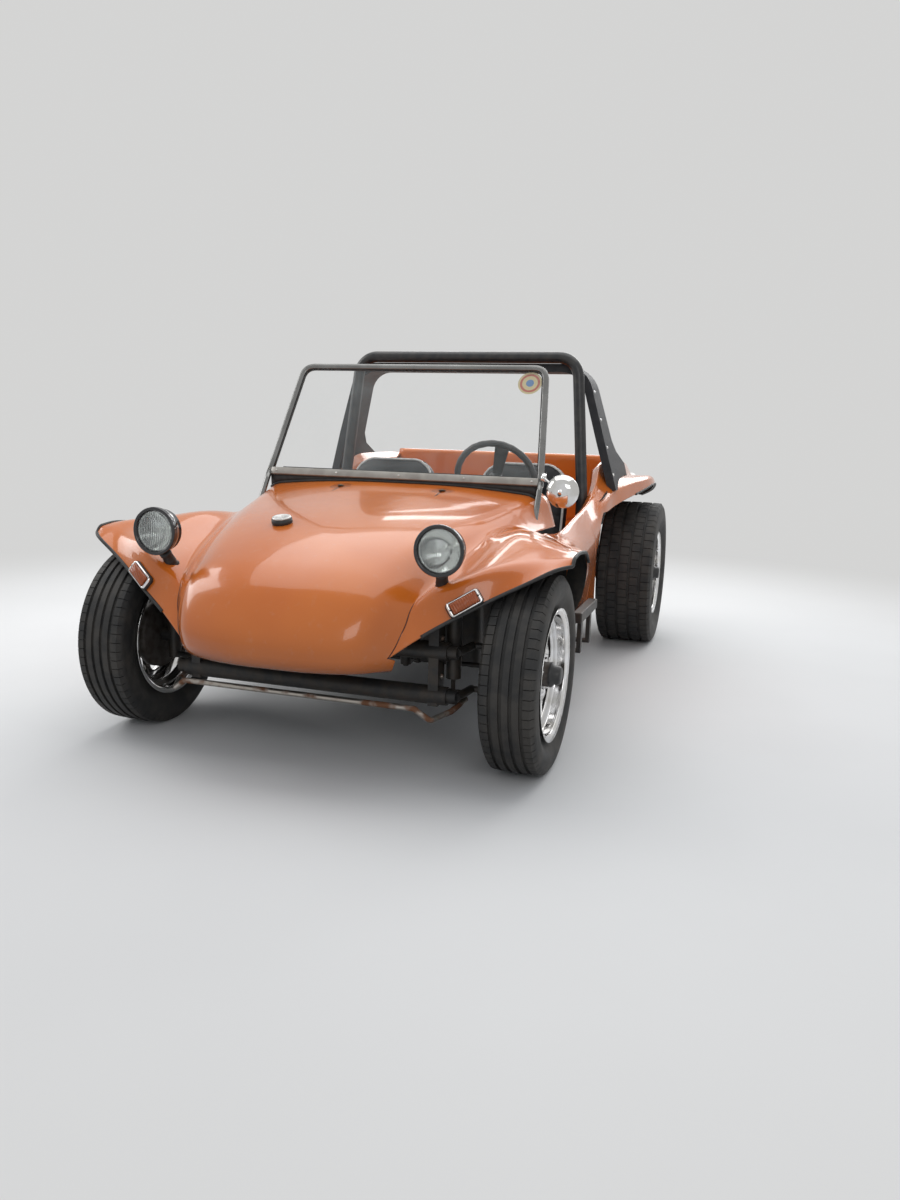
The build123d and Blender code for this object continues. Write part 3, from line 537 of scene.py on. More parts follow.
edge = np.array([row[-1] for row in long_rows if ARCH_SPAN[0] < row[-1, 1] < ARCH_SPAN[1]])
inner = np.array([row[0] for row in long_rows if WALL_SPAN[0] < row[0, 1] < WALL_SPAN[1]])
arch_return = between(edge, edge * (0, 1, 1) + (TUB_X, 0, 0))
inner_wall = between(inner, np.column_stack([inner[:, 0] + 4, inner[:, 1], np.minimum(inner[:, 2], TUB_Z)]))
grids = [grid[:, ::-1] / 1000 for grid in (side_rows, tail_fill, arch_return, inner_wall[:, ::-1])]
points, faces = halves(*grids, whole=deck[:, ::-1] / 1000)
rear_shell = piece("rear_shell", (points, faces[:, ::-1]), gelcoat)
weld(rear_shell, SEAM)
solid(rear_shell, SHELL_WALL, underseal)
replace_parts(rear_shell, "body_side_left", "body_side_right", "rear_wing_left", "rear_wing_right",
            "rear_deck")

# Chassis: the platform, front beam, axles, links and pedals in black paint, as the model has them,
# with chips and road dust; the anti-roll bar has lost its paint and rusts
black_paint = grained("black_paint", (0.022, 0.022, 0.022), (0.045, 0.036, 0.028), 0.48, 24.0, bump=0.0004)
bare_steel = Shader("bare_steel", (0.38, 0.36, 0.33))
rust = bare_steel.noise(16.0, 6.0).step(0.46, 0.62)
bare_steel.set(Base_Color=bare_steel.mix(rust, (0.42, 0.39, 0.35), (0.17, 0.075, 0.035)),
               Metallic=0.9 - rust * 0.7, Roughness=rust * 0.45 + 0.3)
bare_steel.bump(bare_steel.noise(180.0), 0.0004)


def finish(material, *nodes):
    """Gives parts that stay as the model has them their finish."""
    for node in nodes:
        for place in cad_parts[node].material_slots:
            place.material = material.material


finish(black_paint, "platform", "front_beam", "rear_axle", "dampers", "knuckle_left", "knuckle_right",
       "tie_rod", "pitman_arm", "steering_column", "controls")
finish(gelcoat, "tub")
finish(bare_steel, "anti_roll_bar", "exhaust")

# Tyres: black rubber on fifteen inch rims. The front pair has straight ribs with cut shoulders, the
# wide rear pair rows of blocks set half a block apart
AXLES = {
    # half track, station and tyre radius
    "front": (0.683, FRONT_Y, 0.311),
    "rear": (0.72, 0.973, 0.352),
}
TREADS = {
    # half width, half bead, grooves, groove's half width, blocks, and whether every rib is cut
    "front": (0.09, 0.065, (-0.046, -0.015, 0.015, 0.046), 0.0045, 66, False),
    "rear": (0.136, 0.102, (-0.078, -0.027, 0.027, 0.078), 0.0055, 54, True),
}
BEAD_R, GROOVE_DEPTH, CUT_DEPTH, FLANK = 0.1908, 0.0075, 0.006, 0.0012
tyre_rubber = grained("tyre", (0.019, 0.019, 0.019), (0.046, 0.042, 0.037), 0.66, 14.0, bump=0.0003)


def turned(profile, place, way, steps=64):
    """Rings round an axis: each profile point is (distance along the way, radius) from a place.

    Steps are the number of points of a ring, or their angles.
    """
    way = unit(way)
    side = unit(np.cross(way, (0.0, 0.0, 1.0) if abs(way[2]) < 0.9 else (1.0, 0.0, 0.0)))
    angles = np.linspace(0, 2 * pi, steps, endpoint=False) if np.isscalar(steps) else steps
    ring = np.cos(angles)[:, None] * side - np.sin(angles)[:, None] * np.cross(side, way)
    profile = np.asarray(profile, float)
    return np.array(place) + profile[:, 0, None, None] * way + profile[:, 1, None, None] * ring


def mirrored(profile):
    """A profile and its mirror image across its middle, run on as one line."""
    return np.vstack([profile, np.array(profile)[::-1] * (-1, 1)])


def tyre_rows(radius, half, bead, grooves, groove, blocks, every_rib):
    """Rings of a tyre: a profile turned round, its radius cut down in grooves and between blocks.

    A cut spans 3 % of a block's length each way and rises to the tread over a further 1.5 %.
    """
    side, tread = BEAD_R + 0.022, half - 0.017
    bulge = side + 0.42 * (radius - side)
    wall = rounded_path([(-bead + 0.006, BEAD_R), (-bead - 0.003, side), (-half, bulge),
                         (-half + 0.005, radius - 0.02), (-tread, radius - 0.003)],
                        (0.006, 0.016, 0.008), 3, 5)
    across, sunk, rib = [], [], []
    for k, g in enumerate(grooves):
        across += [g - groove - FLANK, g - groove, g + groove, g + groove + FLANK]
        sunk += [0, GROOVE_DEPTH, GROOVE_DEPTH, 0]
        rib += [k, -1, -1, k + 1]
    across = np.array(across)
    crown = radius - 0.003 * (across / tread) ** 2 - sunk
    profile = np.vstack([wall, np.column_stack([across, crown]), wall[::-1] * (-1, 1)])
    shoulder = wall[:, 1] > radius - 0.016
    last = len(grooves)
    ribs = np.concatenate([np.where(shoulder, 0, -1), rib, np.where(shoulder[::-1], last, -1)])
    cut = (ribs >= 0) if every_rib else ((ribs == 0) | (ribs == last))
    share = np.array((0, 0.03, 0.045, 0.455, 0.47, 0.5, 0.53, 0.545, 0.955, 0.97))
    if not every_rib:
        share = share[[0, 1, 2, 5, 8, 9]]
    turns = (np.arange(blocks)[:, None] + share).ravel() / blocks * 2 * pi
    shift = np.where(every_rib & (ribs % 2 == 1), 0.5, 0.0)
    near = np.abs((share + shift[:, None] + 0.5) % 1 - 0.5)
    depth = np.clip((0.045 - near) / 0.015, 0, 1) * CUT_DEPTH * cut[:, None]
    rows = turned(profile, (0, 0, 0), (1, 0, 0), turns)
    rows[..., 1:] *= (1 - np.tile(depth, blocks) / profile[:, 1, None])[..., None]
    lining = mirrored([(bead - 0.006, BEAD_R), (bead - 0.008, side), (half - 0.014, bulge),
                       (tread - 0.006, radius - 0.016)])
    return np.concatenate([rows, turned(lining, (0, 0, 0), (1, 0, 0), turns), rows[:1]])


for corner, (half_track, station, radius) in AXLES.items():
    rows = tyre_rows(radius, *TREADS[corner])
    for side, sign in (("left", 1), ("right", -1)):
        tyre = piece(f"tyre_{corner}_{side}_tread", [rows + (sign * half_track, station, radius)],
                     tyre_rubber, f"wheel_{corner}_{side}", smooth=False)
        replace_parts(tyre, f"tyre_{corner}_{side}")

# Wheels: chromed steel with eight windows between ribbed spokes, a dished barrel with rolled lips,
# a black cap on the hub and a cast brake drum behind
chrome = grained("chrome", (0.8, 0.8, 0.81), (0.68, 0.67, 0.65), 0.09, 20.0, metallic=1.0, spread=0.08)
cast_iron = grained("cast_iron", (0.085, 0.075, 0.068), (0.05, 0.038, 0.03), 0.62, 40.0, metallic=0.4,
                    bump=0.0004)
black_plastic = grained("black_plastic", (0.02, 0.02, 0.021), (0.03, 0.03, 0.03), 0.42, 60.0,
                        bump=0.0002)
RIM_R, RIM_HALF, SPOKES, NUTS, NUT_CIRCLE = 0.1905, {"front": 0.075, "rear": 0.112}, 8, 5, 0.056
WINDOW_ROWS, WINDOW_COLUMNS = (4, 7), 3          # rows and columns of the disc left open
NUT = ((0, 0), (0, 0.01), (0.012, 0.01), (0.019, 0.006), (0.021, 0))
DRUM = ((-0.042, 0), (-0.042, 0.03), (-0.042, 0.112), (-0.038, 0.118), (-0.012, 0.118),
        (-0.006, 0.112), (-0.006, 0))


def disc_mesh(well):
    """Points and faces of a wheel's dished disc, with a window after each spoke left open."""
    radii = np.array((0.03, 0.05, 0.07, 0.086, 0.098, 0.112, 0.128, 0.142, 0.15, 0.16, 0.1665))
    dish = well + np.interp(radii, (0.03, 0.09, 0.142, 0.1665), (-0.006, 0.006, -0.016, -0.02))
    pitch = np.radians((0, 8, 16, 24, 31, 38))
    angles = (np.arange(SPOKES)[:, None] * 2 * pi / SPOKES + pitch).ravel()
    spoke = np.tile((0, 0, 0, 0, 1, 1), SPOKES)
    x = dish[:, None] + 0.005 * spoke * np.interp(radii, (0.07, 0.09, 0.142, 0.16), (0, 1, 1, 0))[:, None]
    rows = np.stack([x, radii[:, None] * np.cos(angles), radii[:, None] * np.sin(angles)], -1)
    points, faces = joined([rows])
    row, column = np.divmod(np.arange(len(faces)), len(angles))
    hole = (row >= WINDOW_ROWS[0]) & (row < WINDOW_ROWS[1]) & (column % 6 < WINDOW_COLUMNS)
    return points, faces[~hole][:, ::-1]


for corner, (half_track, station, radius) in AXLES.items():
    half = RIM_HALF[corner]
    well = half * 0.42
    barrel = rounded_path(mirrored([(half + 0.004, RIM_R + 0.017), (half - 0.002, RIM_R),
                                    (well + 0.01, RIM_R), (well, RIM_R - 0.022)]),
                          (0.003, 0.005, 0.005, 0.005, 0.005, 0.003), 2, 5)
    inside = barrel[::-1] - (0, 0.004)
    inside[0] += (-0.003, 0.004)
    inside[-1] += (0.003, 0.004)
    section = np.vstack([inside, barrel, inside[:1]])[::-1]
    cap = [(0.01, 0), (half - 0.01, 0.04), (half - 0.004, 0.0385), (half + 0.002, 0.03),
           (half + 0.018, 0.0285), (half + 0.0225, 0.025), (half + 0.0235, 0)]
    hub = [(-0.006, 0), (-0.006, 0.04), (half - 0.006, 0.038), (half - 0.006, 0)]
    for side, sign in (("left", 1), ("right", -1)):
        body = f"wheel_{corner}_{side}"
        middle, way = np.array((sign * half_track, station, radius)), (sign, 0, 0)
        rim = piece(f"{body}_barrel", [turned(section, middle, way, 72)], chrome, body)
        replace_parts(rim, f"rim_{corner}_{side}")
        points, faces = disc_mesh(well)
        points = points * (sign, 1, 1) + middle
        disc = piece(f"{body}_disc", (points, faces[:, ::sign]), chrome, body)
        solid(disc, 0.006)
        smooth = disc.modifiers.new("round", "SUBSURF")
        smooth.levels = smooth.render_levels = 1
        seats = [(sign * (well + 0.002), NUT_CIRCLE * cos(a), NUT_CIRCLE * sin(a))
                 for a in np.arange(NUTS) * 2 * pi / NUTS + 0.3]
        nuts = [turned(NUT, middle + seat, way, 6) for seat in seats]
        piece(f"{body}_nuts", nuts, chrome, body, smooth=False)
        piece(f"{body}_cap", [turned(cap, middle, way, 40)], black_plastic, body)
        piece(f"{body}_drum", [turned(DRUM, middle, way), turned(hub, middle, way, 40)], cast_iron,
              body)

# Headlamps: black enamelled bowls on rubber feet in the valleys beside the hood, each with a
# chromed reflector, a bulb and a fluted glass held by a rolled black rim
LAMP, LENS_R, GLASS_R = (0.469, -0.284 + FRONT_Y, 0.709), 0.066, 0.064
LAMP_FOOT, FOOT_WAY = (0.457, -0.206 + FRONT_Y, 0.592), (0.008, -0.034, 0.05)
enamel = Shader("black_enamel", (0.018, 0.018, 0.02))
spots = enamel.noise(60.0, 4.0).step(0.58, 0.8)
enamel.set(Base_Color=enamel.mix(spots, (0.016, 0.016, 0.018), (0.06, 0.05, 0.045)),
           Roughness=enamel.noise(30.0, 4.0) * 0.12 + 0.08, Coat_Weight=0.4)
lamp_glass = Shader("lamp_glass", (0.9, 0.93, 0.92))
lamp_glass.set(Transmission_Weight=0.92, IOR=1.3, Roughness=lamp_glass.noise(40.0, 4.0) * 0.14 + 0.03)
lamp_glass.bump(lamp_glass.waves((1, 0, 0), 150.0) * 0.7 + lamp_glass.noise(55.0), 0.0022)
mirror_metal = Shader("mirror_metal", (0.86, 0.86, 0.85), metallic=1.0)
haze = mirror_metal.noise(18.0, 5.0).step(0.5, 0.8)
mirror_metal.set(Base_Color=mirror_metal.mix(haze, (0.86, 0.86, 0.85), (0.62, 0.6, 0.56)),
                 Roughness=mirror_metal.noise(25.0, 4.0) * 0.1 + 0.02)


def arc(middle, radius, start, end, steps):
    """Points of an arc in a profile, with angles in degrees from the axis."""
    t = np.radians(np.linspace(start, end, steps))
    return [(middle[0] + radius * cos(a), middle[1] + radius * sin(a)) for a in t]


def pair(profile, place, way=(0, 1, 0), steps=64):
    """A turned form on the left and its mirror image on the right."""
    return [turned(profile, np.multiply(place, (side, 1, 1)), np.multiply(way, (side, 1, 1)), steps)
            for side in (1, -1)]


bowl = [(0.076, 0), *[(0.075 - 0.068 * (r / LENS_R) ** 4, r) for r in np.linspace(0.02, 0.0655, 6)],
        (-0.004, LENS_R), *arc((0.000, 0.0715), 0.0042, 200, 20, 9), (0.01, 0.075),
        *arc((0.002, 0.0), 0.075, 80, 55, 5), *arc((-0.016, 0.0), 0.093, 45, 8, 9), (0.0771, 0.006),
        (0.0775, 0)]
reflector = [(0.046 * (1 - (r / LENS_R) ** 2) + 0.004, r) for r in np.linspace(0, LENS_R - 0.0015, 14)]
reflector += [(depth + 0.001, r) for depth, r in reflector[::-1]]
glass = [(-0.006 + 0.011 * (r / GLASS_R) ** 2, r) for r in np.linspace(0, GLASS_R, 12)]
glass += [(0.0035, 0.0625), *[(-0.003 + 0.008 * (r / 0.062) ** 2, r) for r in np.linspace(0.058, 0, 10)]]
bulb = [(0.012, 0), *arc((0.021, 0.0), 0.008, 150, 60, 6), (0.032, 0.0055), (0.046, 0.0085),
        (0.05, 0.0085), (0.05, 0)]
foot = [(-0.004, 0.0), (-0.004, 0.0215), (0.003, 0.0225), (0.007, 0.0195), (0.015, 0.018), (0.018, 0.0195),
        (0.022, 0.0195), (0.025, 0.0185), (0.042, 0.0175), (0.048, 0.019), (0.058, 0.02), (0.06, 0)]
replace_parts(piece("headlamp_shells", pair(bowl, LAMP, steps=72), enamel), "headlamp_bowls")
piece("headlamp_feet", pair(foot, LAMP_FOOT, FOOT_WAY, 40), rubber)
piece("headlamp_reflectors", pair(reflector, LAMP), mirror_metal)
piece("headlamp_bulbs", pair(bulb, LAMP, steps=16), mirror_metal)
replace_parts(piece("headlamp_glasses", pair(glass, LAMP), lamp_glass), "headlamp_lenses")

# Front signals: amber lenses with moulded ribs in chromed frames on black rubber pads, set along
# the slope of each wing and held by two screws
SIGNAL = np.array((0.54, -0.251 + FRONT_Y, 0.558))
SIGNAL_X, SIGNAL_Z = np.array((0.785, 0.376, 0.493)), np.array((0.219, -0.912, 0.346))
# width, height and corner of each plate, and its levels
PAD = (0.11, 0.05, 0.014), ((-0.012, None), (-0.012, 0.004), (0.004, 0.0006), (0.008, 0),
                              (0.012, 0.0008), (0.013, 0.004), (0.013, None))
SIGNAL_FRAME = (0.106, 0.046, 0.012), (
    (0.012, None), (0.012, (0, 0)), (0.016, (0.0006, 0.0004)), (0.0188, (0.0026, 0.0018)),
    (0.0195, (0.0055, 0.0034)), (0.019, (0.0095, 0.0048)), (0.0175, (0.0112, 0.0056)),
    (0.013, (0.0114, 0.0058)), (0.013, None))
LENS = (0.083, 0.034, 0.004), ((0.012, None), (0.012, 0.0), (0.0205, 0.0003), (0.0235, 0.0012),
                               (0.0255, 0.0035), (0.0262, None))
SIGNAL_SCREW = ((0, 0), (0, 0.0028), (0.0042, 0.0028), (0.0054, 0.0016), (0.0056, 0))
amber = Shader("amber_glass", (0.85, 0.24, 0.012), 0.12)
amber.set(Base_Color=amber.mix(amber.noise(90.0), (0.26, 0.04, 0.003), (0.46, 0.095, 0.006)),
          Coat_Weight=0.2)
amber.bump(amber.waves(SIGNAL_X, 130.0), 0.0012)


def plate(size, levels, place=(0, 0, 0), across=(1, 0, 0), out=(0, 0, 1), steps=8):
    """Rings of a rounded rectangle; each level is (height over the place, amount drawn in or None)."""
    across, out = unit(across), unit(out)
    across = across - out * across.dot(out)
    up = np.cross(out, across)
    t = np.linspace(0, pi / 2, steps)
    round_t = np.column_stack([np.cos(t), np.sin(t)])
    rings = []
    for height, inset in levels:
        outline = np.zeros((4 * steps, 2))
        if inset is not None:
            corner = max(size[2] - np.max(inset), 0.0004)
            quarter = np.array(size[:2]) / 2 - inset - corner + corner * round_t
            outline = np.vstack([quarter, (quarter * (-1, 1))[::-1], -quarter, (quarter * (1, -1))[::-1]])
        rings.append(np.array(place) + outline[:, :1] * across + outline[:, 1:] * up + out * height)
    return np.array(rings)


def signals(size, levels):
    """A plate of the signal on each side of the car."""
    return [plate(size, levels, SIGNAL * (side, 1, 1), SIGNAL_X * (1, side, side), SIGNAL_Z * (side, 1, 1))
            for side in (1, -1)]


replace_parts(piece("signal_pads", signals(*PAD), rubber), "signal_bezels")
piece("signal_frames", signals(*SIGNAL_FRAME), chrome)
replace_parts(piece("signal_glasses", signals(*LENS), amber), "signal_lenses")
screws = [pair(SIGNAL_SCREW, SIGNAL + unit(SIGNAL_X) * end + unit(SIGNAL_Z) * 0.015, SIGNAL_Z, 14)
          for end in (-0.0455, 0.0455)]
piece("signal_screws", sum(screws, []), cast_iron, smooth=False)

# Windscreen: a flat glass in an extruded aluminium frame that leans back from the cowl. Its legs
# run on down outside the hood to their brackets, and a rubber seal lies under the bottom rail
LEAN = radians(27.5)
SCREEN_FOOT = np.array((0, 0.6 + FRONT_Y, 0.848))
SCREEN_UP, SCREEN_OUT = np.array((0, sin(LEAN), cos(LEAN))), np.array((0, -cos(LEAN), sin(LEAN)))
FRAME_HALF, FRAME_TOP, FRAME_CORNER = (0.564, 0.516), 0.497, 0.06
BAR, BAR_DEPTH, RAIL = 0.022, 0.0088, 0.03
LEG, LEG_R = ((0.552, 0.602, 0.86), (0.556, 0.505, 0.704)), 0.0105
# the frame's base colour is darker than its aluminium would be: painted shade of a backlit frame
shade_darkened_frame_metal = grained("shade_darkened_frame_metal", (0.25, 0.25, 0.245), (0.19, 0.19, 0.185), 0.28, 9.0, metallic=0.95,
                      bump=0.0001)
rail_metal = grained("rail_metal", (0.36, 0.345, 0.315), (0.28, 0.265, 0.24), 0.46, 18.0, metallic=0.5,
                     bump=0.0002)
glass_pane = Shader("screen_glass", (0.72, 0.78, 0.76))
film = glass_pane.noise(7.0, 6.0).step(0.35, 0.8)
glass_pane.set(Alpha=film * 0.05 + 0.04, Roughness=film * 0.1 + 0.03)


def swept(path, section, inward=1):
    """A section carried along a path in the screen's plane; its first number lies to the right."""
    ways = unit(np.gradient(path, axis=0))
    rights = np.column_stack([ways[:, 1], -ways[:, 0]]) * inward
    flat = path[:, None] + rights[:, None] * section[:, :1]
    rows = flat[..., :1] * (1, 0, 0) + flat[..., 1:] * SCREEN_UP + section[:, 1:] * SCREEN_OUT + SCREEN_FOOT
    ends = [np.repeat(row.mean(0)[None], len(section), 0) for row in (rows[0], rows[-1])]
    return np.array([ends[0], *rows, ends[1]])[::-inward]


def bar_section(width, depth, ease):
    """Outline of a bar with eased edges, from 0 to width and depth to each side."""
    corners = np.array(((0, -depth), (width, -depth), (width, depth), (0, depth)))
    points = []
    for k, corner in enumerate(corners):
        before, after = corners[k - 1] - corner, corners[(k + 1) % 4] - corner
        points += [corner + unit(before) * ease, corner + np.sign(before + after) * ease * 0.29,
                   corner + unit(after) * ease]
    return np.array(points)


def arch(foot_x, foot_z, top_x, top_z, corner):
    """The line of a frame from its left foot over its two top corners to its right foot."""
    return rounded_path([(-foot_x, foot_z), (-top_x, top_z), (top_x, top_z), (foot_x, foot_z)],
                        (corner, corner), 12, 14)


outline = arch(FRAME_HALF[0], 0, FRAME_HALF[1], FRAME_TOP, FRAME_CORNER)
bars = [swept(outline, bar_section(BAR, BAR_DEPTH, 0.0035))]
bars += [pipe(line, LEG_R, 16) for line in sides(np.linspace(*LEG, 6))]
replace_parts(piece("screen_bars", bars, shade_darkened_frame_metal), "screen_frame")
rail_line = np.column_stack([np.linspace(-0.56, 0.56, 30), np.zeros(30)])
rail = swept(rail_line, bar_section(RAIL, BAR_DEPTH, 0.003), -1)
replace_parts(piece("screen_rail", [rail], rail_metal), "screen_frame")
bead = bar_section(0.004, 0.0055, 0.001)
beads = [swept(arch(0.5395, RAIL + 0.001, 0.4955, FRAME_TOP - BAR, 0.04), bead),
         swept(rail_line[1:-1] * (0.95, 1) + (0, RAIL), bead, -1)]
piece("glazing_bead", beads, rubber)


def on_hood(x, y):
    """Point of the hood's outer surface at x and y in the model's frame, and its normal."""
    hit, normal, _, _ = hood_tree.ray_cast(Vector((abs(x), y - FRONT_Y, 2)), Vector((0, 0, -1)))
    mirror = (np.sign(x) or 1, 1, 1)
    return np.array(hit) * mirror + FRONT, np.array(normal) * mirror * (1, 1, np.sign(normal.z))


seal_line, skirt = [], []
for x in np.linspace(-0.545, 0.545, 60):
    point, normal = on_hood(x, SCREEN_FOOT[1])
    seal_line.append(point + normal * 0.003)
    rail_edge = SCREEN_FOOT + (x, 0, 0) + SCREEN_UP * 0.001
    skirt.append([rail_edge, (rail_edge + seal_line[-1]) / 2, seal_line[-1]])
piece("screen_seal", [pipe(seal_line, 0.0065, 10)], rubber)
solid(piece("screen_skirt", joined([np.array(skirt)], False), rubber), 0.004)
finish(glass_pane, "screen_glass")

# Sticker: a round vinyl transfer inside the top of the glass. It is left plain, as a cream disc
# with a ring and a blue spot
STICKER, STICKER_R, EDGE = (0.45, 0.425), 0.0465, 0.0006
centre = SCREEN_FOOT + (STICKER[0], 0, 0) + STICKER[1] * SCREEN_UP - SCREEN_OUT * 0.003
sticker = Shader("sticker", (0.62, 0.52, 0.26))
from_middle = sticker.near(centre)
ring = from_middle.step(0.03, 0.03 + EDGE) - from_middle.step(0.0385, 0.0385 + EDGE)
spot = 1 - from_middle.step(0.015, 0.015 + EDGE)
cream = sticker.mix(sticker.noise(60.0, 4.0), (0.66, 0.56, 0.3), (0.54, 0.46, 0.24))
ringed = sticker.mix(ring, cream, (0.45, 0.1, 0.06))
sticker.set(Base_Color=sticker.mix(spot, ringed, (0.1, 0.22, 0.42)))
disc = turned([(0.0004, 0), (0.0004, STICKER_R), (0, STICKER_R), (0, 0)], centre, -SCREEN_OUT, 48)
piece("sticker", [disc[::-1]], sticker, smooth=False)

# Wiper spindle holes below the glass, each with its rubber grommet and brass collar. Water has
# left a brown halo round each in the gelcoat, and a short dark streak runs forward below it.
WIPER_X, WIPER_Y = 0.203, 0.522 + FRONT_Y
GROMMET = ((-0.002, 0), (-0.002, 0.0135), (0.0016, 0.013), (0.003, 0.0105), (0.0032, 0.0072),
           (0.002, 0.0065), (0.002, 0))
COLLAR = ((0.001, 0), (0.001, 0.0058), (0.0055, 0.0056), (0.0062, 0.0044), (0.0062, 0))
brass = grained("dull_brass", (0.3, 0.22, 0.1), (0.12, 0.08, 0.05), 0.45, 90.0, metallic=0.8, bump=0.0002)
stained_and_streaked = dusty
for x in (-WIPER_X, WIPER_X):
    point = on_hood(x, WIPER_Y)[0]
    halo = (1 - (gelcoat.near(point) + gelcoat.noise(70.0) * 0.03).step(0.046, 0.066)) * 0.5
    off, down = gelcoat.axis("X") - x, float(point[1]) - gelcoat.axis("Y")
    # run: a short dark streak below the hole, forward down the hood's slope
    run = (1 - (off * off).step(0.000004, 0.00003)) * down.step(0.0, 0.006) * (1 - down.step(0.06, 0.095))
    stained_and_streaked = gelcoat.mix(halo, stained_and_streaked, (0.2, 0.045, 0.012))
    stained_and_streaked = gelcoat.mix(run * 0.8, stained_and_streaked, (0.05, 0.016, 0.008))
gelcoat.set(Base_Color=stained_and_streaked)
piece("wiper_grommets", pair(GROMMET, *on_hood(WIPER_X, WIPER_Y), 32), rubber)
piece("wiper_collars", pair(COLLAR, *on_hood(WIPER_X, WIPER_Y), 20), brass)

# Fuel tank and cap: a black pressed steel tank between the front wheels, and on its neck through
# the hood a low cap with a pale worn top on a black collar
CAP_FOOT, CAP_WAY = (-0.165, -0.012 + FRONT_Y, 0.7), (0, -0.22, 1)
TANK, TANK_MIDDLE = (0.47, 0.363, 0.024), (0, 0.112 + FRONT_Y, 0.44)
worn_alloy = grained("worn_alloy", (0.66, 0.66, 0.65), (0.46, 0.45, 0.43), 0.36, 40.0, metallic=0.8,
                     bump=0.0002)
tank = plate(TANK, ((0, None), (0, 0.022), (0.007, 0.007), (0.022, 0), (0.095, 0), (0.098, -0.006),
                    (0.102, -0.006), (0.105, 0), (0.178, 0), (0.193, 0.007), (0.2, 0.022), (0.2, None)),
             TANK_MIDDLE)
neck = [(-0.062, 0), (-0.062, 0.018), (0.036, 0.018), (0.036, 0)]
collar = [(0.02, 0), (0.02, 0.03), (0.0345, 0.0345), (0.046, 0.0335), (0.046, 0)]
top = [(0.0455, 0), (0.0455, 0.031), (0.049, 0.031), (0.0515, 0.0295), (0.0522, 0.025),
       (0.0514, 0.022), (0.052, 0.008), (0.049, 0.0065), (0.0485, 0)]
tank = piece("tank_shell", [tank, turned(neck, CAP_FOOT, CAP_WAY, 32)], black_paint)
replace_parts(tank, "fuel_tank")
piece("fuel_collar", [turned(collar, CAP_FOOT, CAP_WAY, 48)], rubber)
piece("fuel_cap", [turned(top, CAP_FOOT, CAP_WAY, 48)], worn_alloy)

# Driver's mirror: a round chromed head with a domed back. It sits on a thin arm that is clamped to
# the leg of the windscreen frame
MIRROR = np.array((0.66, 0.482, 0.842)) + FRONT
ARM = np.array(((0.56, 0.612, 0.88), (0.652, 0.482, 0.84))) + FRONT
head = [(-0.0015, 0), (-0.0015, 0.0515), (-0.0005, 0.056), (0.002, 0.058), (0.006, 0.0578),
        *[(0.04 * sin(t), 0.0578 * cos(t) ** 0.75) for t in np.linspace(0.25, pi / 2 - 0.02, 14)],
        (0.04, 0)]
clamp = [(-0.014, 0), (-0.014, 0.01), (0.014, 0.01), (0.014, 0)]
boss = [(0.026, 0), (0.026, 0.013), (0.043, 0.008), (0.045, 0)]
parts = [turned(head, MIRROR, (0, -1, 0)), pipe(np.linspace(*ARM, 8), 0.0048),
         turned(clamp, ARM[0], SCREEN_UP, 20), turned(boss, MIRROR, (0, -1, 0), 20)]
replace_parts(piece("mirror_head", parts, chrome), "mirror")

# Roll hoop and roof band: a bent steel tube bolted to the floor in front of the hard top's rear
# band, a thick black moulding whose edges are eased and which the hood's cloth once buttoned to
BAND_FOOT, BAND_FALL = (0.7005, 1.485 + FRONT_Y, 0.793), (0.545, 0.155)   # FALL: rise and draw-in
STUD_ZS = (0.86, 0.98, 1.1, 1.22)
STUD = ((-0.001, 0), (-0.001, 0.0075), (0.0015, 0.007), (0.0018, 0.004), (0.0045, 0.0036),
        (0.005, 0.0024), (0.005, 0))
hoop_paint = grained("hoop_paint", (0.02, 0.021, 0.023), (0.038, 0.036, 0.034), 0.34, 30.0, bump=0.0003)
band_black = grained("band_black", (0.02, 0.022, 0.026), (0.032, 0.033, 0.036), 0.62, 26.0)
band_black.bump(band_black.noise(900.0, 2.0) + band_black.noise(120.0) * 0.6, 0.0005)


def softened(node, name, material, width):
    """A copy of a model part with its points merged, flat faces joined and sharp edges rounded."""
    made = linked(name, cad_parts[node].data.copy())

    def simplify(mesh):
        bmesh.ops.remove_doubles(mesh, verts=mesh.verts, dist=0.00005)
        bmesh.ops.dissolve_limit(mesh, angle_limit=radians(2), verts=mesh.verts, edges=mesh.edges)

    edit_mesh(made, simplify)
    made.data.materials.clear()
    made.data.materials.append(material.material)
    made.data.polygons.foreach_set("use_smooth", [True] * len(made.data.polygons))
    edges = made.modifiers.new("edges", "BEVEL")
    edges.width, edges.segments, edges.limit_method, edges.angle_limit = width, 3, "ANGLE", radians(35)
    made.modifiers.new("shade", "WEIGHTED_NORMAL")
    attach(made, "chassis")
    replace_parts(made, node)


finish(hoop_paint, "roll_hoop")
softened("roof_band", "roof_band_moulding", band_black, 0.005)
studs = []
for z in STUD_ZS:
    draw_in = (z - BAND_FOOT[2]) / BAND_FALL[0] * BAND_FALL[1]
    at = (BAND_FOOT[0] - draw_in, BAND_FOOT[1] - 0.02 * (z - STUD_ZS[0]), z)
    studs += pair(STUD, at, (BAND_FALL[0], 0, BAND_FALL[1]), 18)
piece("press_studs", studs, chrome)

# Creases of the nose: below the lamps' feet, where the nose's face meets the wings, a thin tube in a
# dark colour lies along the crease as painted shadow
painted_crease_shadow = grained("crease_shadow", (0.075, 0.014, 0.006), (0.05, 0.01, 0.005), 0.6, 50.0)
low_crease = along(np.array([p for p in creases if p[2] < 0.6]), 60)
piece("crease_shadow_lines", [pipe(line, 0.0022, 8) for line in sides(low_crease)], painted_crease_shadow)

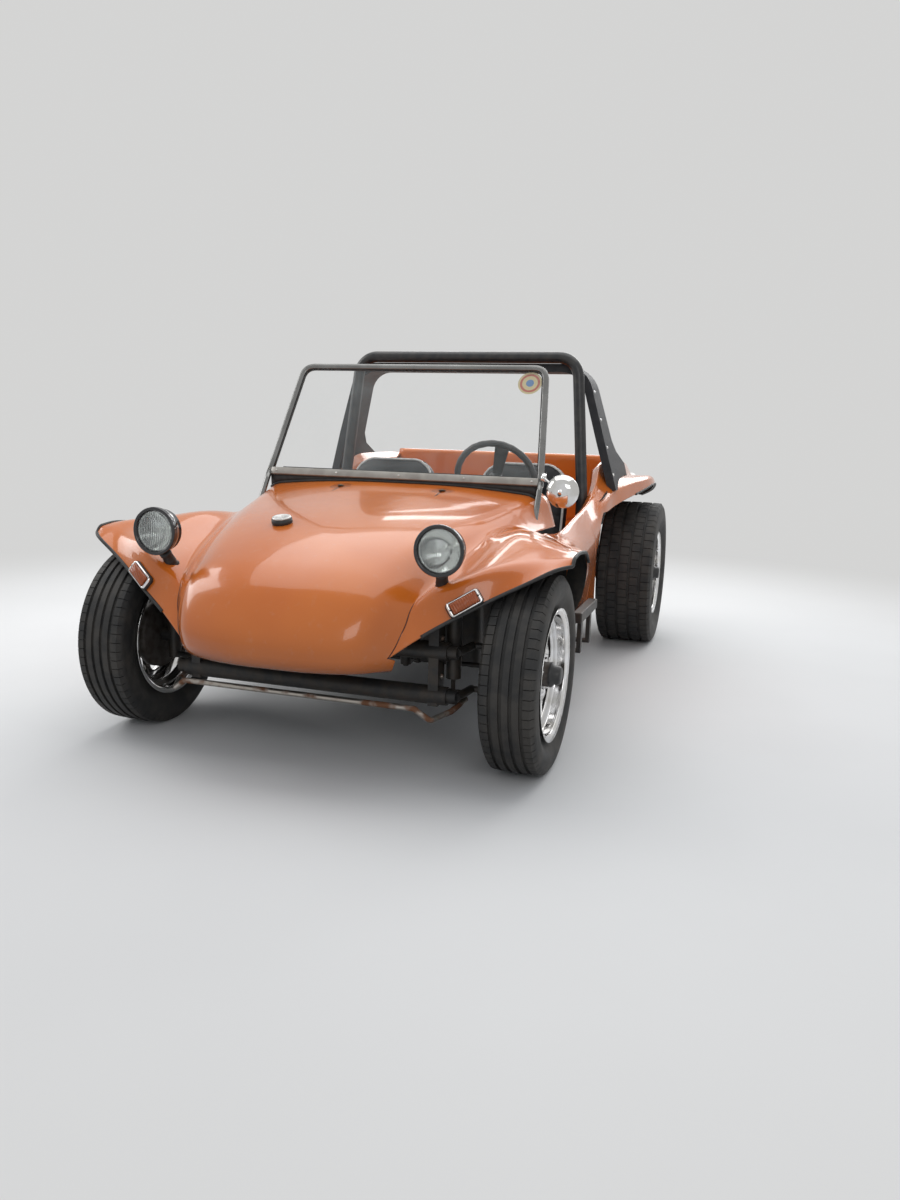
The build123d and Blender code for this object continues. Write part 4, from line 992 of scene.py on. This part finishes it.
# Seats: two low bucket seats, each a foam cushion and back in black grained vinyl with sewn
# channels and white piping round the back, on steel runners bolted to the floor
SEAT_X, SEAT_YS, SEAT_ZS, SEAT_CORNER_STEPS = 0.31, (0.85, 1.29), (0.262, 0.426), 12
BACK_FOOT, BACK_LEAN, BACK_TALL, BACK_THICK = (1.24, 0.38), radians(14), 0.54, 0.11
CUSHION_CHANNELS, BACK_CHANNELS = (-0.105, -0.035, 0.035, 0.105), (-0.098, -0.033, 0.033, 0.098)
CHANNEL_END, CHANNEL_HALF, CHANNEL_DEPTH = 0.135, 0.007, 0.009  # END: a channel stops short of the edge
VOXEL, PRESSURE, CLOTH_STEPS, SEAM_HALF = 0.0065, 4.0, 20, 0.004
RUNNER, RUNNER_TALL, RUNNER_AT = (0.03, 0.36, 0.003), 0.0215, (0.165, 1.08, 0.2403)
vinyl = Shader("seat_vinyl", (0.017, 0.018, 0.019))
speck = vinyl.noise(260.0, 2.0).step(0.58, 0.72)
vinyl.set(Base_Color=vinyl.mix(speck * 0.25, (0.012, 0.013, 0.015), (0.07, 0.07, 0.07)),
          Roughness=vinyl.noise(18.0, 4.0) * 0.2 + 0.4, Specular_IOR_Level=0.35)
vinyl.bump(vinyl.cells(520.0) * 0.6 + vinyl.noise(34.0) * 0.8, 0.0007)
white_piping = grained("white_piping", (0.66, 0.65, 0.61), (0.48, 0.46, 0.42), 0.45, 60.0, bump=0.0002)


def evaluated(made):
    """The object's mesh with its modifiers applied; they are then taken off."""
    mesh = bpy.data.meshes.new_from_object(made.evaluated_get(bpy.context.evaluated_depsgraph_get()))
    made.modifiers.clear()
    return mesh


def mesh_points(mesh):
    flat = np.empty(len(mesh.vertices) * 3)
    mesh.vertices.foreach_get("co", flat)
    return flat.reshape(-1, 3)


def padding(grid, channels, cap):
    """A sewn pad blown out from its grid: remeshed, filled by cloth pressure, held at its channels.

    Points near a channel stay pinned and sink by a bell curve; no point moves by more than the cap.
    """
    made = linked("pad_form", plain_mesh("pad_form", *joined([grid])))
    weld(made, 0.0002)
    remesh = made.modifiers.new("skin", "REMESH")
    remesh.mode, remesh.voxel_size, remesh.use_smooth_shade = "VOXEL", VOXEL, True
    made.data = skin = evaluated(made)
    flat = mesh_points(skin)
    low, high = flat.min(0), flat.max(0)
    tall = high[2] - low[2]
    front = np.clip((flat[:, 2] - low[2] - 0.6 * tall) / (0.25 * tall), 0, 1)
    off = np.min([np.abs(flat[:, 0] - x) for x in channels], axis=0)
    edge = (high[1] - low[1]) / 2 - np.abs(flat[:, 1] - (low[1] + high[1]) / 2)
    inside = np.clip((edge - CHANNEL_END) / 0.03, 0, 1)
    flat[:, 2] -= CHANNEL_DEPTH * np.exp(-(off / CHANNEL_HALF) ** 2) * front * inside
    skin.vertices.foreach_set("co", flat.ravel())
    held = ((off < SEAM_HALF) & (front > 0.5) & (inside > 0.2)) | (flat[:, 2] < low[2] + 0.012)
    pins = made.vertex_groups.new(name="held")
    pins.add(np.flatnonzero(held).tolist(), 1.0, "REPLACE")
    cloth = made.modifiers.new("foam", "CLOTH").settings
    cloth.quality, cloth.effector_weights.gravity, cloth.vertex_group_mass = 5, 0.0, "held"
    cloth.use_pressure, cloth.uniform_pressure_force = True, PRESSURE
    for step in range(1, CLOTH_STEPS + 1):
        bpy.context.scene.frame_set(step)
    way = mesh_points(evaluated(made)) - flat
    length = np.linalg.norm(way, axis=1)[:, None]
    flat = flat + way * np.minimum(1, cap / np.maximum(length, 1e-9))
    bpy.context.scene.frame_set(1)
    quads = [tuple(p.vertices) for p in skin.polygons]
    bpy.data.objects.remove(made)
    return flat, quads


def pad_piece(name, points, faces, node):
    """A vinyl pad from its sewn shape that stands for a seat of the model."""
    made = piece(name, (points, faces), vinyl)
    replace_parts(made, node)


cushion_tall = SEAT_ZS[1] - SEAT_ZS[0] - 0.016
cushion_levels = ((0, None), (0, 0.03), (0, 0.006), (0.012, 0), (cushion_tall - 0.03, 0),
                  (cushion_tall - 0.01, 0.01), (cushion_tall, 0.034), (cushion_tall, 0.1),
                  (cushion_tall, None))
back_levels = ((0, None), (0, 0.06), (0.004, 0.016), (0.02, 0.002), (0.04, 0), (0.07, 0), (0.086, 0.012),
               (0.094, 0.036), (0.094, 0.1), (0.094, None))
back_size = (0.392, BACK_TALL - 0.01, 0.105)
cushion = plate((0.396, SEAT_YS[1] - SEAT_YS[0] - 0.15, 0.07), cushion_levels, steps=SEAT_CORNER_STEPS)
cushion_form = padding(cushion, CUSHION_CHANNELS, 0.01)
back_form = padding(plate(back_size, back_levels, steps=SEAT_CORNER_STEPS), BACK_CHANNELS, 0.009)
back_tree = BVHTree.FromPolygons(back_form[0].tolist(), back_form[1])
back_turn = np.array(((1, 0, 0), (0, sin(BACK_LEAN), cos(BACK_LEAN)), (0, -cos(BACK_LEAN), sin(BACK_LEAN))))
hits = [back_tree.find_nearest(Vector(p)) for p in plate(back_size, ((0.084, 0.002),), steps=24)[0]]
back_edge = np.array([np.array(hit[0]) + np.array(hit[1]) * 0.0012 for hit in hits])
back_edge = np.vstack([back_edge, back_edge[:2]])
for seat, sign in (("driver", 1), ("passenger", -1)):
    middle = FRONT + (sign * SEAT_X, 0, 0)
    cushion_at = middle + (0, (SEAT_YS[0] + SEAT_YS[1] - 0.12) / 2, SEAT_ZS[0] + 0.002)
    back_at = middle + (0, *BACK_FOOT) + (0, BACK_TALL / 2 + 0.002, 0.002 - BACK_THICK / 2) @ back_turn
    pad_piece(f"seat_{seat}_cushion", cushion_form[0] + cushion_at, cushion_form[1], f"seat_{seat}")
    pad_piece(f"seat_{seat}_back", back_form[0] @ back_turn + back_at, back_form[1], f"seat_{seat}")
    piping = pipe(back_edge @ back_turn + back_at, 0.0055, 8)
    piece(f"seat_{seat}_piping", [piping], white_piping)
    levels = ((0, None), (0, 0), (RUNNER_TALL, 0), (RUNNER_TALL, None))
    runners = [plate(RUNNER, levels, middle + np.array(RUNNER_AT) * (side, 1, 1)) for side in (1, -1)]
    piece(f"seat_{seat}_runners", runners, black_paint, smooth=False)

# Steering wheel: a thick black rim moulded on three pressed spokes, with a plain horn button. It
# turns on the end of the column
COLUMN_X, COLUMN_SLOPE, WHEEL_R, GRIP_R = 0.27, radians(25), 0.165, 0.0135
GRIP_STEPS, SWELLS, SPOKE_ANGLES = 120, 24, (-75, 45, 165)
WHEEL_HUB = np.array((COLUMN_X, 1.012 + FRONT_Y, 0.842))
COLUMN_WAY = np.array((0, cos(COLUMN_SLOPE), sin(COLUMN_SLOPE)))
grip_black = grained("wheel_grip", (0.016, 0.016, 0.017), (0.03, 0.029, 0.028), 0.38, 50.0, bump=0.0002)
round_grip = [(GRIP_R * sin(t), WHEEL_R - GRIP_R * cos(t)) for t in np.linspace(2 * pi, 0, 17)]
grip_middle = turned([(0, WHEEL_R)] * 17, WHEEL_HUB, COLUMN_WAY, GRIP_STEPS)
swell = 1 + 0.05 * np.cos(np.arange(GRIP_STEPS) / GRIP_STEPS * 2 * pi * SWELLS)[:, None]
grip = grip_middle + (turned(round_grip, WHEEL_HUB, COLUMN_WAY, GRIP_STEPS) - grip_middle) * swell
hub = [(-0.046, 0), (-0.046, 0.026), (-0.02, 0.032), (-0.004, 0.034), (0.004, 0.034), (0.01, 0.029),
       (0.012, 0.027), (0.015, 0.02), (0.0165, 0)]
parts = [grip, turned(hub, WHEEL_HUB, COLUMN_WAY, 48)]
for angle in np.radians(SPOKE_ANGLES):
    spoke = cos(angle) * np.array((1, 0, 0)) + sin(angle) * np.cross(COLUMN_WAY, (1, 0, 0))
    levels = ((-0.0025, None), (-0.0025, 0.001), (-0.0015, 0), (0.0015, 0), (0.0025, 0.001), (0.0025, None))
    rows = plate((0.14, 0.034, 0.006), levels, WHEEL_HUB + spoke * 0.092, spoke, COLUMN_WAY)
    reach = ((rows - WHEEL_HUB) @ spoke)[..., None]
    side = np.cross(COLUMN_WAY, spoke)
    waist = np.interp(reach, (0.02, 0.09, 0.165), (1.15, 0.8, 1.9))
    parts.append(rows + side * ((rows - WHEEL_HUB) @ side)[..., None] * (waist - 1))
wheel = piece("steering_wheel_grip", parts, grip_black, "steering_wheel")
weld(wheel, 0.00005)
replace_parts(wheel, "steering_wheel")

# Dash: a black crackle board under the cowl, with three gauges in bright rings that face the
# driver. Each gauge has a printed face with marks and one needle
GAUGES, GAUGE_Y = ((COLUMN_X, 0.77, 0.052), (0.12, 0.762, 0.03), (0.04, 0.762, 0.03)), 0.672 + FRONT_Y
MARKS, FIRST_MARK, MARK_SPAN, NEEDLE_ANGLE = 12, 220, 260, 150
crackle = grained("dash_crackle", (0.022, 0.022, 0.022), (0.032, 0.031, 0.03), 0.6, 24.0)
crackle.bump(crackle.cells(420.0), 0.0009)
dial_face = grained("dial_face", (0.014, 0.014, 0.015), (0.02, 0.02, 0.02), 0.35, 90.0)
needle_white = grained("needle_white", (0.7, 0.7, 0.68), (0.6, 0.6, 0.58), 0.5, 90.0)


def slip(length, width, corner, low, high, middle, angle, away):
    """A thin strip on a gauge's face, away from its middle in a direction and pointing along it."""
    out = np.array((cos(angle), 0, sin(angle)))
    return plate((length, width, corner), ((low, None), (low, 0), (high, 0), (high, None)),
                 middle + out * away, out, (0, 1, 0), 2)


softened("dash", "dash_board", crackle, 0.002)
rings, faces, marks = [], [], []
for x, z, r in GAUGES:
    at = np.array((x, GAUGE_Y, z))
    rings.append(turned([(-0.02, 0), (-0.02, r + 0.001), (-0.001, r + 0.001), (0.003, r - 0.0005),
                         (0.004, r - 0.003), (0.002, r - 0.006), (0.0004, r - 0.0065), (0.0002, 0)],
                        at, (0, 1, 0), 48))
    faces.append(turned([(0, 0), (0, r - 0.0055), (0.0006, r - 0.0055), (0.0008, 0)], at, (0, 1, 0), 48))
    marks += [slip(r * 0.16, 0.0016, 0.0004, 0.0008, 0.0012, at, angle, r * 0.7)
              for angle in np.radians(np.linspace(FIRST_MARK, FIRST_MARK - MARK_SPAN, MARKS))]
    marks.append(slip(r * 0.7, 0.0022, 0.0006, 0.0012, 0.002, at, radians(NEEDLE_ANGLE), r * 0.28))
piece("gauge_rings", rings, chrome)
piece("gauge_faces", faces, dial_face)
piece("gauge_marks", marks, needle_white, smooth=False)

# Engine: an air-cooled flat four hung behind the gearbox, with its alloy case, iron cylinders,
# black pressed fan housing, generator on a stand and a belt to the crank pulley
ENGINE_TOP, CYLINDER_X, COVER_X = 0.5, 0.14, 0.337
CRANK_Z, GENERATOR_Z, CRANK_R, PULLEY_R, PULLEY_Y = 0.36, 0.65, 0.08, 0.052, 2.5745 + FRONT_Y
engine_metal = Shader("engine_metal", (0.3, 0.3, 0.29))
stain, burn = engine_metal.noise(16.0, 5.0).step(0.35, 0.7), engine_metal.noise(44.0, 5.0).step(0.45, 0.7)
alloy = engine_metal.mix(stain, (0.15, 0.14, 0.13), (0.34, 0.34, 0.33))
iron = engine_metal.mix(burn, (0.04, 0.036, 0.034), (0.085, 0.06, 0.048))
out = engine_metal.axis("X").math("ABSOLUTE")
past_cover = out.step(COVER_X - 0.002, COVER_X + 0.002)
out_wide = out.step(CYLINDER_X - 0.004, CYLINDER_X + 0.004) * (1 - past_cover)
above = engine_metal.axis("Z").step(ENGINE_TOP - 0.002, ENGINE_TOP + 0.002)
engine_metal.set(Base_Color=engine_metal.mix(above, engine_metal.mix(out_wide, alloy, iron),
                                             (0.022, 0.022, 0.023)),
                 Metallic=(1 - above) * (0.75 - out_wide * 0.4),
                 Roughness=engine_metal.noise(50.6, 4.0) * 0.12 + 0.4)
engine_metal.bump(engine_metal.noise(132.0), 0.0005)
belt_rubber = grained("belt_rubber", (0.018, 0.018, 0.018), (0.032, 0.03, 0.028), 0.7, 60.0)


def pulley(radius, z, steps):
    """A V pulley, 22 mm thick."""
    return turned([(0, 0), (0, radius), (0.003, radius), (0.009, radius - 0.012), (0.013, radius - 0.012),
                   (0.019, radius), (0.022, radius), (0.022, radius * 0.55), (0.017, radius * 0.5),
                   (0.017, 0.014), (0.026, 0.012), (0.026, 0)], (0, PULLEY_Y, z), (0, 1, 0), steps)


softened("engine", "engine_case", engine_metal, 0.0025)
pulleys = [pulley(PULLEY_R, GENERATOR_Z, 48), pulley(CRANK_R + 0.008, CRANK_Z, 64)]
piece("belt_pulleys", pulleys, worn_alloy)
tilt = np.arcsin((CRANK_R - PULLEY_R) / (GENERATOR_Z - CRANK_Z))
loop = [(r * cos(t), z + r * sin(t))
        for r, z, turns in ((PULLEY_R * 0.92, GENERATOR_Z, np.linspace(tilt, pi - tilt, 24)),
                            (CRANK_R, CRANK_Z, np.linspace(pi - tilt, 2 * pi + tilt, 36))) for t in turns]
loop = np.array(loop + loop[:1])
ways = unit(np.gradient(np.vstack([loop[-2:-1], loop, loop[1:2]]), axis=0)[1:-1])
belt = np.array([[(p[0] + way[1] * a, PULLEY_Y + 0.011 + b, p[1] - way[0] * a)
                  for a, b in ((0.0, -0.004), (0.009, -0.0055), (0.009, 0.0055), (0.0, 0.004))]
                 for p, way in zip(loop, ways)])
piece("fan_belt", [belt], belt_rubber)
leads, caps, clips = [], [], []
for y in (2.29, 2.47):
    line = rounded_path([(0.06, 2.44, 0.505), (0.15, y + 0.01, 0.52), (0.235, y, 0.5),
                         (0.27, y, 0.459)], (0.03, 0.03), 4, 8)
    leads += [pipe(lead, 0.0038, 8) for lead in sides(line)]
    caps += pair([(-0.004, 0), (-0.004, 0.014), (0.004, 0.014), (0.008, 0.009), (0.026, 0.008), (0.026, 0)],
                 (0.27, y + FRONT_Y, 0.456), (0, 0, 1), 20)
for y in (2.3, 2.49):
    line = rounded_path([(0.372, y, 0.46), (0.4065, y, 0.432), (0.4065, y, 0.334), (0.372, y, 0.318)],
                        (0.012, 0.012), 3, 6)
    clips += [pipe(clip, 0.003, 8) for clip in sides(line)]
piece("ignition_leads", leads, rubber)
piece("plug_caps", caps, black_plastic)
stand = plate((0.09, 0.05, 0.01), ((0.494, None), (0.494, 0), (0.5, 0), (0.515, 0.008), (0.592, 0.008),
                                      (0.606, 0.002), (0.606, None)), (0, 2.535 + FRONT_Y, 0))
piece("generator_stand", [stand], worn_alloy)
straps = [turned([(0, 0.0462), (0.0, 0.048), (0.014, 0.048), (0.014, 0.0462), (0, 0.0462)],
                 (0, y + FRONT_Y, GENERATOR_Z), (0, 1, 0), 48) for y in (2.519, 2.545)]
piece("generator_straps", straps, worn_alloy)
piece("cover_clips", clips, worn_alloy)

# Tail lamps: red domed lenses with moulded rings in chromed rims, screwed to the ends of the rear
# wings
TAIL_LAMP = (0.63, 2.4593 + FRONT_Y, 0.79)
red_glass = Shader("red_glass", (0.5, 0.012, 0.01), 0.1)
red_glass.set(Base_Color=red_glass.mix(red_glass.noise(70.0), (0.42, 0.01, 0.008), (0.56, 0.018, 0.012)),
              Coat_Weight=0.6)
red_glass.bump(red_glass.cells(260.0), 0.0008)
lamp_rim = [(0, 0), (0, 0.04), (0.006, 0.04), (0.01, 0.0392), (0.013, 0.0368), (0.0135, 0.0345),
            (0.012, 0.0338), (0.01, 0.0335), (0.01, 0)]
dome = [(0.008, 0), (0.008, 0.0334), (0.014, 0.033), (0.0185, 0.031), (0.0185, 0.029), (0.0215, 0.028),
        (0.025, 0.024), (0.025, 0.0225), (0.028, 0.0205), (0.0305, 0.014), (0.0318, 0.006),
        (0.032, 0)]
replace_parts(piece("tail_lamp_rims", pair(lamp_rim, TAIL_LAMP, steps=48), chrome), "tail_lamps")
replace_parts(piece("tail_lamp_domes", pair(dome, TAIL_LAMP, steps=48), red_glass), "tail_lamps")

# Small fasteners: bolts of the hoop's feet and of the front bulkhead, and the screws of the
# windscreen's rail. They are turned forms on their washers
FOOT_BOLT = ((0, 0), (0, 0.0105), (0.0015, 0.0105), (0.0016, 0.008), (0.007, 0.0078), (0.0076, 0))
SIDE_BOLT = ((0, 0), (0, 0.009), (0.0015, 0.009), (0.0016, 0.007), (0.006, 0.0065), (0.0065, 0))
RAIL_SCREW = ((-0.001, 0), (-0.001, 0.0042), (0.0012, 0.0038), (0.0022, 0.0022), (0.0025, 0))
bolts = []
for x, y in ((0.54, 1.328), (0.584, 1.328), (0.54, 1.392), (0.584, 1.392)):
    bolts += pair(FOOT_BOLT, (x, y + FRONT_Y, 0.246), (0, 0, 1), 12)
for z in (0.3, 0.36, 0.42):
    bolts += pair(SIDE_BOLT, (0.432, -0.118 + FRONT_Y, z), (1, 0, 0), 12)
piece("body_bolts", bolts, bare_steel, smooth=False)
screw_row = SCREEN_FOOT + SCREEN_UP * 0.015 + SCREEN_OUT * BAR_DEPTH
screws = [turned(RAIL_SCREW, screw_row + (x, 0, 0), SCREEN_OUT, 12) for x in (-0.52, 0.52, -0.26, 0, 0.26)]
piece("rail_screws", screws, worn_alloy)

# Rear beading: the same rubber strip as on the front wings, pressed on the lips of the rear wings
# from the sweep before the tyre to the tail
lip = along(side_rows[120:186, -1] / 1000, 90)
piece("rear_beading", [pipe(line, 0.005, 10) for line in sides(lip)], rubber)

# Camera and light: the camera fitted to the photograph, a pale floor and soft lamps of a studio.
# The floor turns into the backdrop's colour with the distance, so that no horizon shows
LENS_PX, PHOTO_PX, SENSOR = 950.1, 1200, 36.0    # focal length and height of the photograph
CAMERA_AT, CAMERA_TURN = (1.324, -2.801 + FRONT_Y, 1.06), np.radians((-17.99, -10.44, 1.59))
BACKDROP, SKY, FLOOR_HALF, FADE_FROM, FADE_TO = (0.66, 0.66, 0.655), (0.56, 0.58, 0.62), 30, 1.6, 4.6
SEEN_RAYS = ("Is Camera Ray", "Is Glossy Ray", "Is Transmission Ray")
LIGHTS = (
    # name, place, size, power, aim
    ("windows", (0.5, 6.5, 3.6), (7.0, 2.4), 210, (0, 0, 0.6)),
    ("side", (-5.0, -0.5, 3.4), (3.0, 3.0), 90, (0, 0, 0.5)),
    ("ceiling", (0.0, 1.0, 5.0), (6.0, 6.0), 160, (0, 0, 0)),
    ("front", (3.0, -6.0, 3.4), (3.0, 2.0), 45, (0, -0.8, 0.5)),
)
yaw, pitch, roll = CAMERA_TURN
forward = Vector((sin(yaw) * cos(pitch), cos(yaw) * cos(pitch), sin(pitch)))
right = Vector((cos(yaw), -sin(yaw), 0))
up = right.cross(forward)
right, up = right * cos(roll) + up * sin(roll), up * cos(roll) - right * sin(roll)
camera = linked("camera", bpy.data.cameras.new("camera"))
camera.data.sensor_fit, camera.data.sensor_height = "VERTICAL", SENSOR
camera.data.lens = LENS_PX * SENSOR / PHOTO_PX
camera.matrix_world = Matrix.Translation(CAMERA_AT) @ Matrix((right, up, -forward)).transposed().to_4x4()
bpy.context.scene.camera = camera
bpy.context.scene.view_settings.view_transform = "Standard"

square = [(x * FLOOR_HALF, y * FLOOR_HALF, 0) for x, y in ((-1, -1), (1, -1), (1, 1), (-1, 1))]
floor = linked("floor", plain_mesh("floor", square, [(0, 1, 2, 3)]))
floor_paint = Shader("floor", (0.62, 0.62, 0.61), 0.6)
# rays from the camera, and what glass and metal show of them, see the floor lit and faded
rays = [floor_paint.node("ShaderNodeLightPath", result=name) for name in SEEN_RAYS]
seen = (rays[0] + rays[1] + rays[2]).step(0.0, 1.0)
away = floor_paint.near((0.0, 0.3, 0.0)).step(FADE_FROM, FADE_TO)
speckle = floor_paint.mix(floor_paint.noise(1.1, 4.0), (0.66, 0.66, 0.65), (0.72, 0.72, 0.71))
shown = floor_paint.mix(away, speckle, (0.0, 0.0, 0.0))
floor_paint.set(Base_Color=floor_paint.mix(seen, (0.3, 0.3, 0.3), shown), Specular_IOR_Level=0.0,
                Emission_Color=floor_paint.mix(away * seen, (0.0, 0.0, 0.0), BACKDROP),
                Emission_Strength=1.0)
floor.data.materials.append(floor_paint.material)

world = bpy.data.worlds.new("world")
world.use_nodes = True
sky = world.node_tree
ray = sky.nodes.new("ShaderNodeLightPath")
share, *others = [ray.outputs[name] for name in SEEN_RAYS]
for other in others:
    both = sky.nodes.new("ShaderNodeMath")
    both.operation = "MAXIMUM"
    sky.links.new(share, both.inputs[0])
    sky.links.new(other, both.inputs[1])
    share = both.outputs[0]
blend = sky.nodes.new("ShaderNodeMix")
blend.data_type = "RGBA"
blend.inputs[6].default_value, blend.inputs[7].default_value = (*SKY, 1), (*BACKDROP, 1)
sky.links.new(share, blend.inputs[0])
sky.links.new(blend.outputs[2], sky.nodes["Background"].inputs["Color"])
bpy.context.scene.world = world
for name, place, size, power, aim in LIGHTS:
    lamp = linked(name, bpy.data.lights.new(name, "AREA"))
    lamp.data.shape, lamp.data.size, lamp.data.size_y, lamp.data.energy = "RECTANGLE", *size, power
    lamp.location = place
    lamp.rotation_euler = (Vector(aim) - Vector(place)).to_track_quat("-Z", "Y").to_euler()

bpy.context.view_layer.update()
